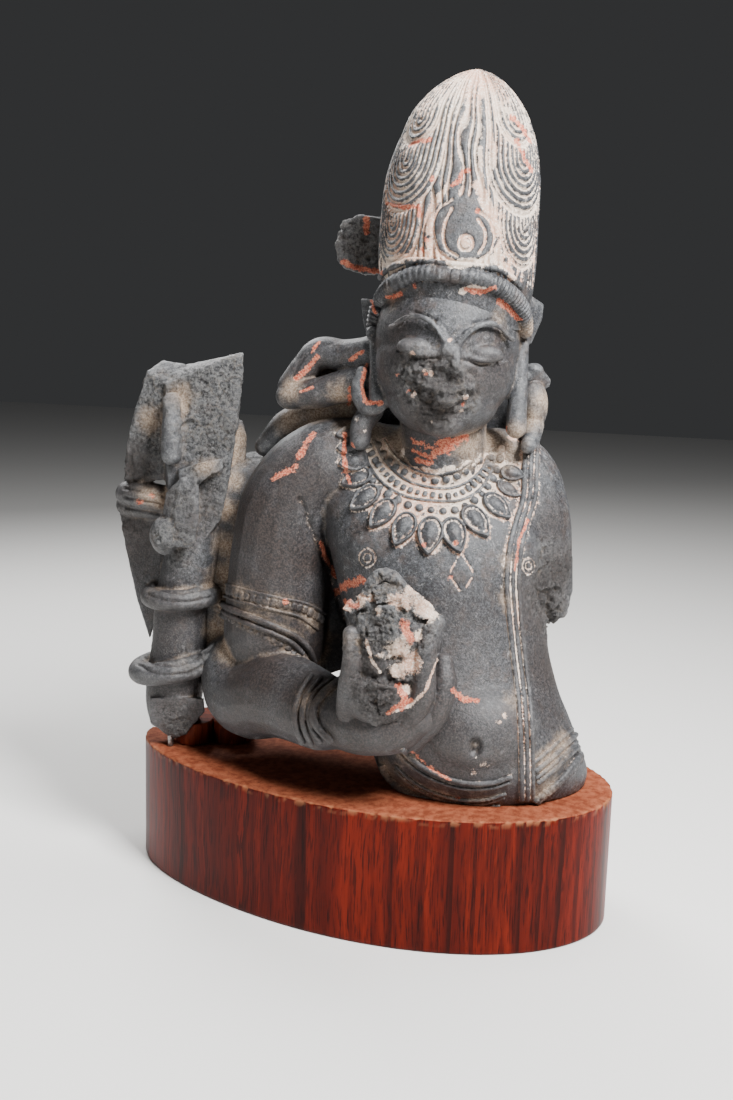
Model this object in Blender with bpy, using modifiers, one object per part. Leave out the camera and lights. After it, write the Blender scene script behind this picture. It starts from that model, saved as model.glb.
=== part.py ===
"""A carved stone bust of a deity with a tall crown of hair and a broken staff, on an oval wooden plinth."""

from math import atan2, cos, pi, radians, sin

import bmesh
import bpy
import numpy as np
from mathutils import Euler, Matrix, Vector
from mathutils.bvhtree import BVHTree

# Driving dimensions, in metres
PLINTH_LENGTH = 0.300
PLINTH_DEPTH = 0.158
PLINTH_HEIGHT = 0.078
PLINTH_EDGE = 0.0012  # worn arris round the top and bottom
PLINTH_EGG = 0.14  # how much deeper the right end of the oval is than its middle
BUST_HEIGHT = 0.403
BUST_TURN = radians(19.2)  # the bust faces a little to the left of the plinth's long side
SEAT_GAP = 0.0003  # between the stone and whatever carries it
BLOCK_HEIGHT = 0.014
BLOCK_LENGTH = 0.048
BLOCK_DEPTH = 0.036
BLOCK_LOBE = 0.013  # how far its two front lobes stand out
BLOCK_TURN = radians(8)
PIN_DIAMETER = 0.0036
PIN_HEIGHT = 0.011

# The carving keeps its proportions: one carving millimetre is a 403rd of the bust's height
CARVED_HEIGHT = 403.0
MM = BUST_HEIGHT / CARVED_HEIGHT
VOXEL = 1.7
BLOCK_AT = (-98.5, 28.5)  # where block and pin stand, in carving millimetres and the bust's own axes
PIN_AT = (-123.2, 13.5)
FACES = 8200

for old in list(bpy.data.objects):
    bpy.data.objects.remove(old)
collection = bpy.data.collections.new("stone bust on a plinth")
bpy.context.scene.collection.children.link(collection)


def material(name, colour, roughness, metallic=0.0):
    made = bpy.data.materials.new(name)
    made.use_nodes = True
    shader = made.node_tree.nodes["Principled BSDF"]
    shader.inputs["Base Color"].default_value = (*colour, 1.0)
    shader.inputs["Roughness"].default_value = roughness
    shader.inputs["Metallic"].default_value = metallic
    made.diffuse_color = (*colour, 1.0)
    return made


STONE = material("dark schist", (0.045, 0.048, 0.052), 0.6)
WOOD = material("red hardwood", (0.16, 0.035, 0.018), 0.4)
STEEL = material("steel pin", (0.45, 0.45, 0.46), 0.35, 1.0)

# Clay: closed shapes in carving millimetres, which one voxel remesh makes a single solid
clay = bmesh.new()


def add(shape, frame=Matrix()):
    """Put a small closed shape into the clay."""
    bmesh.ops.transform(shape, matrix=frame, verts=shape.verts)
    data = bpy.data.meshes.new("clay")
    shape.to_mesh(data)
    shape.free()
    clay.from_mesh(data)
    bpy.data.meshes.remove(data)


def ball(centre, radii, turn=(0, 0, 0), frame=Matrix()):
    """An ellipsoid, turned by degrees about X, Y and Z."""
    spin = Euler([radians(a) for a in turn]).to_matrix().to_4x4()
    shape = bmesh.new()
    bmesh.ops.create_uvsphere(shape, u_segments=28, v_segments=18, radius=1)
    add(shape, frame @ Matrix.Translation(centre) @ spin @ Matrix.Diagonal((*radii, 1)))


def limb(points, frame=Matrix(), flat=1.0, smooth=8):
    """A round limb through (x, y, z, radius) points; flat squeezes it front to back."""
    data = bpy.data.curves.new("limb", "CURVE")
    data.dimensions = "3D"
    data.bevel_depth = 1.0
    data.bevel_resolution = 4
    data.use_fill_caps = True
    data.resolution_u = smooth
    spline = data.splines.new("BEZIER")
    spline.bezier_points.add(len(points) - 1)
    for knot, (x, y, z, r) in zip(spline.bezier_points, points):
        knot.co = (x, y / flat, z)
        knot.radius = r
        knot.handle_left_type = knot.handle_right_type = "AUTO"
    holder = bpy.data.objects.new("limb", data)
    collection.objects.link(holder)
    bpy.context.view_layer.update()
    mesh = bpy.data.meshes.new_from_object(holder.evaluated_get(bpy.context.evaluated_depsgraph_get()))
    shape = bmesh.new()
    shape.from_mesh(mesh)
    bmesh.ops.remove_doubles(shape, verts=shape.verts, dist=0.001)
    add(shape, frame @ Matrix.Diagonal((1, flat, 1, 1)))
    bpy.data.objects.remove(holder)
    bpy.data.meshes.remove(mesh)
    for x, y, z, r in (points[0], points[-1]):
        ball((x, y, z), (r * 0.98, r * 0.98 * flat, r * 0.98), frame=frame)


def loft(sections, sides=48, frame=Matrix()):
    """A body through level ellipses, each (x, y, z, half width, half depth)."""
    shape = bmesh.new()
    rings = []
    for x, y, z, rx, ry in sections:
        ring = []
        for k in range(sides):
            a = 2 * pi * k / sides
            ring.append(shape.verts.new((x + rx * cos(a), y + ry * sin(a), z)))
        rings.append(ring)
    for low, high in zip(rings, rings[1:]):
        for k in range(sides):
            j = (k + 1) % sides
            shape.faces.new((low[k], low[j], high[j], high[k]))
    shape.faces.new(reversed(rings[0]))
    shape.faces.new(rings[-1])
    add(shape, frame)


def rock(points, frame=Matrix()):
    """A broken lump: the hull of its corners."""
    shape = bmesh.new()
    corners = [shape.verts.new(p) for p in points]
    made = bmesh.ops.convex_hull(shape, input=corners)
    spare = set(made["geom_unused"]) | set(made["geom_interior"])
    bmesh.ops.delete(shape, geom=[v for v in spare if isinstance(v, bmesh.types.BMVert)], context="VERTS")
    add(shape, frame)


def smooth_sections(sections, steps=4):
    """Sections on a smooth curve through the given ones."""
    rows = [np.array(s, float) for s in sections]
    rows = [2 * rows[0] - rows[1]] + rows + [2 * rows[-1] - rows[-2]]
    out = []
    for a, b, c, d in zip(rows, rows[1:], rows[2:], rows[3:]):
        for k in range(steps):
            t = k / steps
            bend, twist = 2 * a - 5 * b + 4 * c - d, 3 * b - a - 3 * c + d
            out.append(b + 0.5 * ((c - a) * t + bend * t**2 + twist * t**3))
    return out + [rows[-2]]


# Torso, from the seat to the neck
loft(smooth_sections([
    (70, -20, -4, 60, 47), (68, -22, 8, 63, 53), (63.5, -24, 22, 62, 58), (58.5, -25, 39, 60, 59),
    (53.5, -24, 52, 59, 57), (48.5, -22, 67, 59, 53), (45.5, -20, 82, 58.5, 50), (42.5, -17, 103, 60, 48),
    (39.5, -14, 130, 64, 48), (37.5, -10, 150, 67, 46), (34, -6, 165, 68, 41), (32, -4, 177, 62, 34), (35, -4, 188, 44, 27),
    (37, -6, 196, 28, 22),
]))
# Chest, belly and shoulder blades
ball((10, -30, 138), (27, 24, 25))
ball((72, -29, 137), (25, 23, 24))
ball((60, -48, 42), (42, 40, 34))
ball((15, 18, 140), (30, 20, 36))
ball((70, 16, 138), (26, 18, 34))
# Neck
limb([(40, -10, 165, 27), (38.5, -15, 185, 25), (37.5, -20, 205, 25)])
# Shoulders and the stump of the left arm
limb([(55, -6, 190, 18), (80, -6, 178.5, 25), (88, -8, 156, 27), (92.5, -10, 129.5, 25)])
rock([
    (91.5, -30, 135.5), (107.5, -26, 142), (118, -8, 132.5), (119, -10, 111), (114, -18, 98),
    (105, -14, 90.5), (95, -28, 106), (98, -38, 126.5), (115.5, 14, 101), (119.5, 16, 125.5),
    (106, 18, 125),
])
# Right arm: the upper arm hangs, the forearm comes forward across the body
limb([
    (11, -4, 187, 20), (-27, -2, 181, 28), (-48.5, 0, 159.5, 29), (-54.5, 2, 132, 30),
    (-56, 4, 104, 32), (-57, 6, 78.5, 33),
])
limb([(-80, 14, 51.5, 25), (-74.5, 2, 40, 25.5), (-50.5, -26, 47.5, 25.5), (-26.5, -52, 46, 22)])
limb([
    (-26.5, -52, 46, 22), (-13, -64, 48, 19), (-0.5, -76, 49, 18.5), (15, -84, 52, 17),
    (25.5, -88, 58, 13),
])


# Band on the upper arm, its flap and the cuff on the wrist
for path, thick in (
    ([
        (-94, -6, 105), (-79.5, -19, 106), (-63.5, -27, 102.5), (-46, -29, 97.5), (-32, -24, 94),
        (-24, -18, 82),
    ], 4.6),
    ([
        (-95.5, -6, 100.5), (-77, -22, 96.5), (-58, -31, 92.5), (-42.5, -32, 89), (-33.5, -28, 82),
        (-28.5, -24, 69),
    ], 3.4),
    ([(-95.5, -6, 96.5), (-77, -20, 89.5), (-58, -29, 84.5), (-39.5, -31, 79.5)], 3.2),
):
    limb([p + (thick,) for p in path])
for along, thick in ((0.0, 25), (0.30, 25.5), (0.62, 25), (0.95, 23)):
    a, b = Vector((-36, -42, 48.5)), Vector((-18, -60, 46.5))
    c = a.lerp(b, along)
    ball(c, (4.2, thick, thick), turn=(0, 12, -34))
# Fingers round the bowl, and what is left of the bowl
limb([(-10, -80, 53, 8), (-11, -93, 74, 7), (-9, -98, 92.5, 6.2), (-5.5, -98, 107, 5.5)])
limb([(19, -92, 53.5, 8), (28.5, -99, 72.5, 7.2), (31, -100, 94, 6.4), (31, -95, 110.5, 6)])
limb([(24, -82, 42.5, 8.5), (34.5, -90, 60, 8), (39, -90, 75.5, 7), (38, -86, 87.5, 5.5)])
ball((11.5, -82, 81.5), (25, 20, 26))
ball((14.5, -80, 96.5), (24, 18, 20))
rock([
    (-15, -86, 112.5), (-11, -84, 118.5), (-0.5, -96, 124), (5.5, -84, 130.5), (13.5, -84, 129),
    (20, -86, 123), (34, -86, 114), (39, -80, 106), (25.5, -98, 101.5), (4.5, -104, 102.5),
    (-11.5, -98, 108), (7.5, -60, 102.5), (30, -62, 92.5), (10, -60, 114),
])
rock([
    (-2, -100, 116), (4, -102, 120), (10.5, -104, 102.5), (10, -104, 85.5), (5, -100, 84),
    (0.5, -98, 95), (3.5, -84, 97),
])

# Staff, with the two rings tied round it and the broken end below
loft(smooth_sections([
    (-122, 22, 12, 15, 14), (-122.5, 22, 27, 17.5, 16), (-121, 22, 46, 18, 16.5),
    (-118.5, 22, 66, 17.5, 16.5), (-117.5, 22, 88, 17, 16.5), (-113, 22, 111, 17.5, 16.5),
    (-109.5, 23, 131, 17, 16.5), (-107, 24, 156, 17, 17), (-106, 26, 180, 18, 17),
]))
rock([
    (-134.5, 6, 18), (-122.5, 14, 4.5), (-113, 10, 9.5), (-101, 8, 24.5), (-101.5, 6, 34),
    (-134.5, 4, 34), (-140, 34, 23), (-107.5, 34, 24), (-122.5, 30, 2), (-138, 30, 11),
])


def ring(centre, rx, ry, thick, tilt, knot):
    """A cord tied round the staff, drawn out to a knot on its right."""
    turned = []
    for k in range(13):
        a = 2 * pi * k / 12
        out = 1 + knot * max(0.0, cos(a)) ** 6
        turned.append((centre[0] + rx * cos(a) * out, centre[1] + ry * sin(a), centre[2] + tilt * cos(a), thick))
    limb(turned, smooth=6)


ring((-117.5, 20, 96.5), 19, 19, 6.5, 1.0, 0.05)
ring((-122, 20, 51.5), 21, 20, 7.2, 4.0, 0.15)
rock([
    (-103.5, 2, 64.5), (-93.5, 6, 71.5), (-92, 2, 63), (-94.5, 0, 55), (-103.5, 4, 49),
    (-106.5, 24, 53.5), (-96.5, 24, 57),
])
# Broken block at the head of the staff
rock([
    (-126, 12, 225.5), (-102, 6, 236.5), (-80.5, 12, 245), (-81, 8, 220.5), (-83.5, 6, 198.5),
    (-87, 6, 171), (-92, 8, 145), (-101.5, 8, 132.5), (-122, 10, 132), (-125, 8, 183.5),
    (-138.5, 40, 231), (-83.5, 44, 244.5), (-87.5, 46, 195.5), (-96, 42, 140), (-125, 42, 139),
    (-134.5, 42, 214),
])
rock([
    (-86, 26, 206.5), (-81.5, 28, 204), (-79, 30, 194.5), (-79.5, 30, 181), (-84, 28, 171),
    (-90, 26, 163.5), (-87.5, 44, 190.5), (-82.5, 44, 178), (-92, 44, 165),
])
# The broken hand that held the staff, with two of its fingers
rock([
    (-116.5, -2, 176), (-103, -6, 181.5), (-90.5, 0, 183), (-90.5, 0, 176.5), (-100, -8, 171),
    (-114, -8, 165), (-118.5, 20, 173.5), (-93, 20, 176.5),
])
rock([
    (-123.5, -2, 162.5), (-113, -8, 173), (-103.5, -6, 171), (-103, -8, 147.5), (-106.5, -4, 130),
    (-119, -6, 129.5), (-127.5, 0, 139.5), (-127, 20, 154.5), (-109, 20, 155.5), (-118.5, 20, 130),
])
ball((-124, 2, 136), (9.5, 12, 12))
limb([(-121.5, 6, 215, 5.5), (-121, 4, 199, 6), (-121.5, 4, 184, 6)])
# Fragment behind the staff: a bent arm with its bracelet, thinning to a fin below
rock([
    (-139, 22, 232.5), (-130.5, 30, 239), (-116, 26, 237), (-125, 14, 225.5), (-125.5, 18, 191.5),
    (-128.5, 20, 167), (-154, 26, 165.5), (-151.5, 24, 184), (-147.5, 22, 205.5),
    (-141.5, 52, 231), (-153, 52, 194.5), (-157, 54, 164.5), (-131.5, 54, 169.5),
])
limb([(-153.5, 36, 155.5, 8), (-140.5, 26, 156, 9), (-128, 26, 154, 9)])
limb([(-155.5, 38, 148.5, 6.5), (-141, 28, 149, 7), (-128.5, 28, 147.5, 7)])
rock([
    (-161.5, 40, 158.5), (-154, 36, 165.5), (-132, 26, 154), (-129.5, 26, 116.5), (-132, 26, 91),
    (-139, 30, 64), (-148, 34, 88.5), (-155.5, 36, 123), (-159.5, 38, 146.5), (-162.5, 60, 155),
    (-153.5, 56, 110), (-140.5, 46, 66.5), (-133.5, 54, 124),
])

# The rough back that ties the arm and the staff together
rock([
    (-112, 24, 168), (-112, 44, 176), (-60, 30, 184), (-60, 46, 186), (0, 40, 182), (0, 20, 190),
    (-112, 44, 40), (-70, 46, 34), (0, 46, 60), (-112, 20, 40), (-70, 8, 34), (-10, -6, 60),
    (-30, -2, 100),
])
limb([(-15, 10, 213.5, 9), (-35.5, 16, 210, 9), (-53.5, 22, 203, 9), (-67, 26, 189, 7)], flat=1.2)

# Head, leaning a little to the right
HEAD = Matrix.Translation((37.5, -24, 250)) @ Matrix.Rotation(radians(4), 4, "Y")
ball((0, 0, 6), (40.5, 43, 44), frame=HEAD)
ball((0, -6, -8), (39, 38, 36), frame=HEAD)
ball((0, -11, -24), (32, 30, 24), frame=HEAD)
ball((0, -27, -36), (14, 11, 11), frame=HEAD)
# Brow and eyelids
for side in (-1, 1):
    limb([(side * x, y, z, 1.5) for x, y, z in ((3.5, -43.5, 6), (11, -43, 13), (21, -39, 16), (32, -31, 10))], frame=HEAD)
    ball((side * 17.5, -36.4, 0.5), (10.5, 6, 5), frame=HEAD)
# Nose and mouth, battered
rock([
    (-4, -43, 6), (4, -43, 6), (-9, -43, -11), (9, -43, -12), (-5, -48, -7), (5, -47.5, -9),
    (0, -46, 0), (0, -40, -16), (0, -38, 4),
], frame=HEAD)
rock([
    (-13, -41, -20), (13, -41, -19), (-6, -45, -20), (6, -44.5, -18), (0, -44, -27),
    (-9, -42, -25), (10, -41.5, -26), (0, -34, -22),
], frame=HEAD)

# Crown of matted hair, a tall pointed dome
CROWN = [
    (42, -19, 262, 40, 42), (42.5, -19.5, 282, 42, 43.5), (42, -20, 292, 43.4, 44.5),
    (41.8, -19.5, 305, 44, 45), (42.3, -18, 321, 43.7, 45), (43.2, -16, 338, 43.2, 44),
    (44.4, -14, 352, 41.3, 42.5), (45.6, -12, 365, 37.6, 39), (46, -11, 379, 31.8, 33),
    (47.2, -10, 391, 22.3, 23), (48.4, -10, 398.5, 12, 13), (49, -10, 402.6, 2.5, 3),
]
loft(smooth_sections(CROWN))
# Roll of hair over the forehead
sweep = [radians(k) for k in range(-100, 101, 20)]
limb([(41 * sin(a), -42 * cos(a), 10 + 33 * max(0.0, cos(a)) ** 0.7, 4.6) for a in sweep], frame=HEAD)
# Hair gathered behind the head and down the nape
ball((40, 0, 258), (36, 36, 44))
limb([(40, 14, 250, 30), (40, 20, 215, 26), (40, 22, 185, 24)])
rock([
    (-12, 8, 184), (90, 8, 184), (-4, 8, 226), (80, 8, 226), (-12, 32, 184), (90, 32, 184),
    (0, 32, 230), (76, 32, 230),
])
# Ears: a flared tip, a long lobe, and on the left a ring
rock([
    (-12, -8, 278), (-1.5, -22, 277), (1, -24, 260.5), (-0.5, -20, 250.5), (-6.5, -12, 254.5),
    (-10.5, -8, 265.5), (-3, -4, 277.5), (-2, -4, 252),
])
limb([(-1.5, -24, 254.5, 4), (-1, -30, 238.5, 4.2), (-0.5, -34, 224, 4.6)])
limb([
    (-9.5, -26, 237, 3.4), (-11.5, -28, 225.5, 4.2), (-4.5, -32, 217, 4.6), (3.5, -34, 221.5, 3.6),
    (5.5, -32, 228.5, 2.6),
])
rock([
    (80, -20, 278), (85.5, -8, 282.5), (93.5, -4, 278), (93.5, -6, 270), (86.5, -12, 254.5),
    (81.5, -22, 251.5), (86.5, 4, 280), (90.5, 2, 265.5),
])
limb([(79, -26, 254.5, 4.5), (78.5, -30, 235, 5), (77.5, -34, 208.5, 6)])
# Locks of hair on the shoulders
limb([
    (-4, -14, 248, 9), (-19.5, -4, 245.5, 9), (-34.5, 2, 245.5, 9.5), (-42.5, 4, 238, 8.5),
    (-51, 6, 226.5, 8),
], smooth=8)
limb([(-3.5, -18, 232.5, 9), (-19, -10, 228, 9.5), (-34.5, -4, 223.5, 9), (-52, 4, 221, 8)])
limb([(-3, -24, 215.5, 7), (-8.5, -28, 207.5, 6.5), (-9.5, -30, 199, 6)])
ball((89.5, -12, 220), (8.5, 12, 15))
limb([(82, -14, 236.5, 4), (89.5, -12, 237.5, 4.6), (95.5, -8, 233.5, 4)])
ball((89, -12, 240.5), (5.5, 6, 4))
limb([(89.5, -18, 209.5, 6), (87.5, -26, 201.5, 5), (85, -32, 198.5, 4.5)])
rock([
    (-4, 6, 247.5), (-20, 10, 245), (-40.5, 12, 244), (-48.5, 12, 230), (-48.5, 12, 219.5),
    (-19.5, 8, 224), (-3.5, 4, 227), (-4, 18, 247.5), (-41, 22, 244), (-49, 22, 220.5),
    (-3.5, 18, 224),
])
# Broken disc behind the crown
rock([
    (-1.5, 12, 324.5), (-13.5, 14, 326), (-23, 15, 322.5), (-26.5, 16, 311.5), (-26, 16, 299.5),
    (-20.5, 15, 295), (-9, 14, 292), (2, 10, 294), (-1.5, 28, 326), (-13.5, 28, 326.5),
    (-21.5, 28, 322.5), (-26, 28, 312), (-26, 28, 301), (-21, 28, 296.5), (-9, 28, 293.5),
    (35, 24, 295.5), (34, 24, 322.5), (22.5, 10, 294.5), (21.5, 10, 321),
])

# What the bust wears is laid on the body: its points are found by looking at it from the front
body = BVHTree.FromBMesh(clay)


def worn(points, thick, sink=0.35, reach=-140):
    """A cord of the given thickness that follows (x, z) points over the body's front."""
    laid = []
    for x, z in points:
        hit = body.ray_cast(Vector((x, reach, z)), Vector((0, 1, 0)))[0]
        if hit is not None:
            laid.append((hit.x, hit.y + thick * sink, hit.z, thick))
    limb(laid, smooth=4)
    return laid


# Necklace: a collar, a row of pointed petals and the cords between them
worn([(10.5, 193.5), (17.5, 186), (31, 180.5), (47, 182), (61.5, 189.5)], 3.4)
worn([(-1, 184), (8.5, 173.5), (24.5, 167), (42, 166.5), (57, 173), (69.5, 183)], 3.2)
petals = [
    (-15, 201.5), (-13, 194.5), (-10.5, 187), (-8.5, 178), (-4, 169), (5.5, 161.5), (17, 155.5),
    (30.5, 153), (44, 152.5), (55, 158.5), (66, 166), (73.5, 174), (76.5, 183.5),
]
for x, z in petals:
    hit = body.ray_cast(Vector((x, -140, z)), Vector((0, 1, 0)))[0]
    lean = atan2(x - 40, z - 205)
    ball(hit, (5.6, 3.6, 9.5), turn=(0, 180 + 57.3 * lean, 0))
# Sacred thread, from the left shoulder down to the girdle
worn([
    (88.5, 198), (86, 171.5), (81.5, 157.5), (78, 143.5), (77.5, 116), (80, 90.5), (83.5, 64),
    (86.5, 35.5), (90, 4),
], 4.2)
# Girdle: two cords round the belly and a thicker roll below
worn([
    (12, 43.5), (15.5, 39), (25, 32), (36, 26), (52, 22), (67, 21.5), (81.5, 23.5), (94.5, 22.5),
    (110, 28), (122, 33.5),
], 2.6)
worn([
    (4, 29), (8.5, 17), (16.5, 10.5), (29, 7.5), (42, 5.5), (58, 5.5), (85.5, 3), (98, 3),
    (113, 10), (124, 14.5),
], 3.4)
# Nipples
for x, z in ((-3.5, 137), (86.5, 134)):
    hit = body.ray_cast(Vector((x, -140, z)), Vector((0, 1, 0)))[0]
    ball(hit, (4, 2, 4))

# One solid from the clay
mesh = bpy.data.meshes.new("stone_bust")
clay.to_mesh(mesh)
clay.free()
stone = bpy.data.objects.new("stone_bust", mesh)
collection.objects.link(stone)


def bake(thing, kind, **settings):
    """Apply one modifier to an object's mesh."""
    added = thing.modifiers.new(kind.lower(), kind)
    for key, value in settings.items():
        setattr(added, key, value)
    bpy.context.view_layer.update()
    done = bpy.data.meshes.new_from_object(thing.evaluated_get(bpy.context.evaluated_depsgraph_get()))
    done.name = thing.name
    thing.modifiers.remove(added)
    worked, thing.data = thing.data, done
    bpy.data.meshes.remove(worked)


bake(stone, "REMESH", mode="VOXEL", voxel_size=VOXEL)
bake(stone, "SMOOTH", factor=0.5, iterations=2)


def carve(thing):
    """Cut the strands and whorls of the crown, the navel, and chip the broken faces."""
    data = thing.data
    flat = np.empty(len(data.vertices) * 3)
    data.vertices.foreach_get("co", flat)
    at = flat.reshape(-1, 3)
    normals = np.empty(len(data.vertices) * 3)
    data.vertices.foreach_get("normal", normals)
    out = normals.reshape(-1, 3)
    x, y, z = at.T
    push = np.zeros(len(at))
    # Crown: upright strands in front, and three nested whorls up each side
    angle = np.arctan2(x - 44, -(y + 16))
    height = z - 281
    crown = np.clip((z - 284) / 6, 0, 1) * (y < 20)
    middle = np.exp(-((np.abs(angle) / 0.62) ** 6)) * np.clip((z - 325) / 12, 0, 1)
    push -= 1.3 * crown * middle * (0.5 + 0.5 * np.cos(angle * 30))
    for level, size in ((22, 30), (62, 29), (95, 22)):
        for side in (-1, 1):
            across = (angle - side * 1.05) * 42
            along = (height - level) * 1.25 + side * across * 0.25
            reach = np.hypot(across, along)
            there = crown * (1 - middle) * np.clip((size - reach) / 4, 0, 1)
            push -= 1.4 * there * (0.5 + 0.5 * np.cos(reach * 2 * pi / 9))
    # Navel
    pit = np.hypot(x - 58, z - 38.5) / 5
    push -= 4 * np.exp(-pit * pit) * (y < -60)
    data.vertices.foreach_set("co", (at + out * push[:, None]).ravel())
    data.update()


carve(stone)
bake(stone, "DECIMATE", ratio=min(1.0, FACES / (2 * len(stone.data.polygons))), use_collapse_triangulate=True)
whole = bmesh.new()
whole.from_mesh(stone.data)
left = set(whole.verts)
while left:
    found = {left.pop()}
    edge = list(found)
    while edge:
        for link in edge.pop().link_edges:
            for v in link.verts:
                if v in left:
                    left.remove(v)
                    found.add(v)
                    edge.append(v)
    if len(found) < len(whole.verts) / 2:
        bmesh.ops.delete(whole, geom=list(found), context="VERTS")
        left = {v for v in left if v.is_valid}
whole.to_mesh(stone.data)
whole.free()
stone.data.transform(Matrix.Scale(MM, 4))


def place(thing, at, turn=0.0):
    thing.location = at
    thing.rotation_euler = (0, 0, turn)
    return thing


def from_shape(name, shape):
    """An object of its own from a small bmesh."""
    data = bpy.data.meshes.new(name)
    shape.to_mesh(data)
    shape.free()
    made = bpy.data.objects.new(name, data)
    collection.objects.link(made)
    return made


def slab(name, outline, thickness):
    """A flat outline given thickness, standing on z = 0."""
    curve = bpy.data.curves.new(name, "CURVE")
    curve.dimensions = "2D"
    curve.fill_mode = "BOTH"
    curve.extrude = thickness / 2
    spline = curve.splines.new("POLY")
    spline.points.add(len(outline) - 1)
    for knot, (x, y) in zip(spline.points, outline):
        knot.co = (x, y, 0, 1)
    spline.use_cyclic_u = True
    holder = bpy.data.objects.new(name + "_outline", curve)
    collection.objects.link(holder)
    bpy.context.view_layer.update()
    mesh = bpy.data.meshes.new_from_object(holder.evaluated_get(bpy.context.evaluated_depsgraph_get()))
    shape = bmesh.new()
    shape.from_mesh(mesh)
    bmesh.ops.translate(shape, vec=(0, 0, thickness / 2), verts=shape.verts)
    bmesh.ops.remove_doubles(shape, verts=shape.verts, dist=0.00001)
    bpy.data.objects.remove(holder)
    bpy.data.meshes.remove(mesh)
    return from_shape(name, shape)


def peg(name, radius, low, high):
    shape = bmesh.new()
    middle = Matrix.Translation((0, 0, (low + high) / 2))
    bmesh.ops.create_cone(
        shape, cap_ends=True, segments=24, radius1=radius, radius2=radius, depth=high - low, matrix=middle
    )
    return from_shape(name, shape)


def ease(thing, width, segments=2):
    """Take the sharp arris off with a bevel."""
    edge = thing.modifiers.new("arris", "BEVEL")
    edge.width = width
    edge.segments = segments
    edge.limit_method = "ANGLE"
    edge.angle_limit = radians(50)


def superellipse(angle, power=1.94):
    x, y = cos(angle), sin(angle)
    return (abs(x) ** (2 / power) * (1 if x > 0 else -1), abs(y) ** (2 / power) * (1 if y > 0 else -1))


def oval(steps=96):
    """The sawn log's outline: a superellipse that is fuller at its right end."""
    points = [superellipse(2 * pi * k / steps) for k in range(steps)]
    return [(PLINTH_LENGTH / 2 * x, PLINTH_DEPTH / 2 * y * (1 + PLINTH_EGG * x)) for x, y in points]


def lobed(grow=0.0):
    """The block's outline: two rounded lobes in front and a straight back."""
    reach = BLOCK_LENGTH / 4
    points = []
    for centre in (-reach, reach):
        for k in range(9):
            a = pi + pi * k / 8
            points.append((centre + (reach + grow) * cos(a), (BLOCK_LOBE + grow) * sin(a)))
    back = BLOCK_DEPTH - BLOCK_LOBE + grow
    return points + [(2 * reach + grow, back), (-2 * reach - grow, back)]


def on_bust(x, y, z=0.0):
    """A place on the plinth's top, given in the bust's own axes."""
    return Matrix.Rotation(BUST_TURN, 3, "Z") @ Vector((x * MM, y * MM, 0)) + Vector((0, 0, PLINTH_HEIGHT + z))


place(stone, (0, 0, PLINTH_HEIGHT + SEAT_GAP), BUST_TURN)
plinth = slab("plinth", oval(), PLINTH_HEIGHT)
ease(plinth, PLINTH_EDGE)
block = place(slab("support_block", lobed(), BLOCK_HEIGHT), on_bust(*BLOCK_AT, SEAT_GAP), BUST_TURN + BLOCK_TURN)
ease(block, 0.0006, 1)
pin = place(peg("support_pin", PIN_DIAMETER / 2, 0, PIN_HEIGHT), on_bust(*PIN_AT, SEAT_GAP), BUST_TURN)
ease(pin, 0.0002, 1)

# Fit the stone to its seats: a flat underside, a notch over the block and a socket for the pin
cutters = bpy.data.collections.new("cutters")
bpy.context.scene.collection.children.link(cutters)
cube = bmesh.new()
bmesh.ops.create_cube(cube, size=1, matrix=Matrix.Translation((0, 0, -0.5)))
seat_cut = place(from_shape("cut_seat", cube), (0, 0, PLINTH_HEIGHT + SEAT_GAP))
block_cut = slab("cut_block", lobed(SEAT_GAP), BLOCK_HEIGHT + 3 * SEAT_GAP)
place(block_cut, on_bust(*BLOCK_AT, -SEAT_GAP), BUST_TURN + BLOCK_TURN)
pin_cut = place(peg("cut_pin", PIN_DIAMETER / 2 + SEAT_GAP, -0.01, PIN_HEIGHT + 2 * SEAT_GAP), on_bust(*PIN_AT))
for cutter in (seat_cut, block_cut, pin_cut):
    collection.objects.unlink(cutter)
    cutters.objects.link(cutter)
    cutter.hide_render = True
    cutter.display_type = "WIRE"
    bpy.context.view_layer.update()
    bake(stone, "BOOLEAN", object=cutter, operation="DIFFERENCE", solver="EXACT")

for thing, paint in ((stone, STONE), (plinth, WOOD), (block, WOOD), (pin, STEEL)):
    thing.data.materials.clear()
    thing.data.materials.append(paint)
    thing.data.shade_smooth()
for thing in (plinth, block, pin):
    thing.data.set_sharp_from_angle(angle=radians(35))
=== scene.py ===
# %% [markdown]
# # A stone bust on an oval wooden plinth
# The real object is a broken temple carving: a deity with a tall crown of matted hair, a bowl in the right hand
# and the stump of a staff beside the elbow. It stands on a slice of polished red hardwood. A small wood block
# and a thin peg hold up the staff's end. The stone is modelled like clay: simple forms are laid over each other,
# one voxel remesh melts them together, and the carving is then cut along lines.

# %% Load the frame
from math import atan2, ceil, cos, hypot, pi, radians, sin

import bmesh
import bpy
import numpy as np
from mathutils import Matrix, Vector
from mathutils.bvhtree import BVHTree


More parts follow.
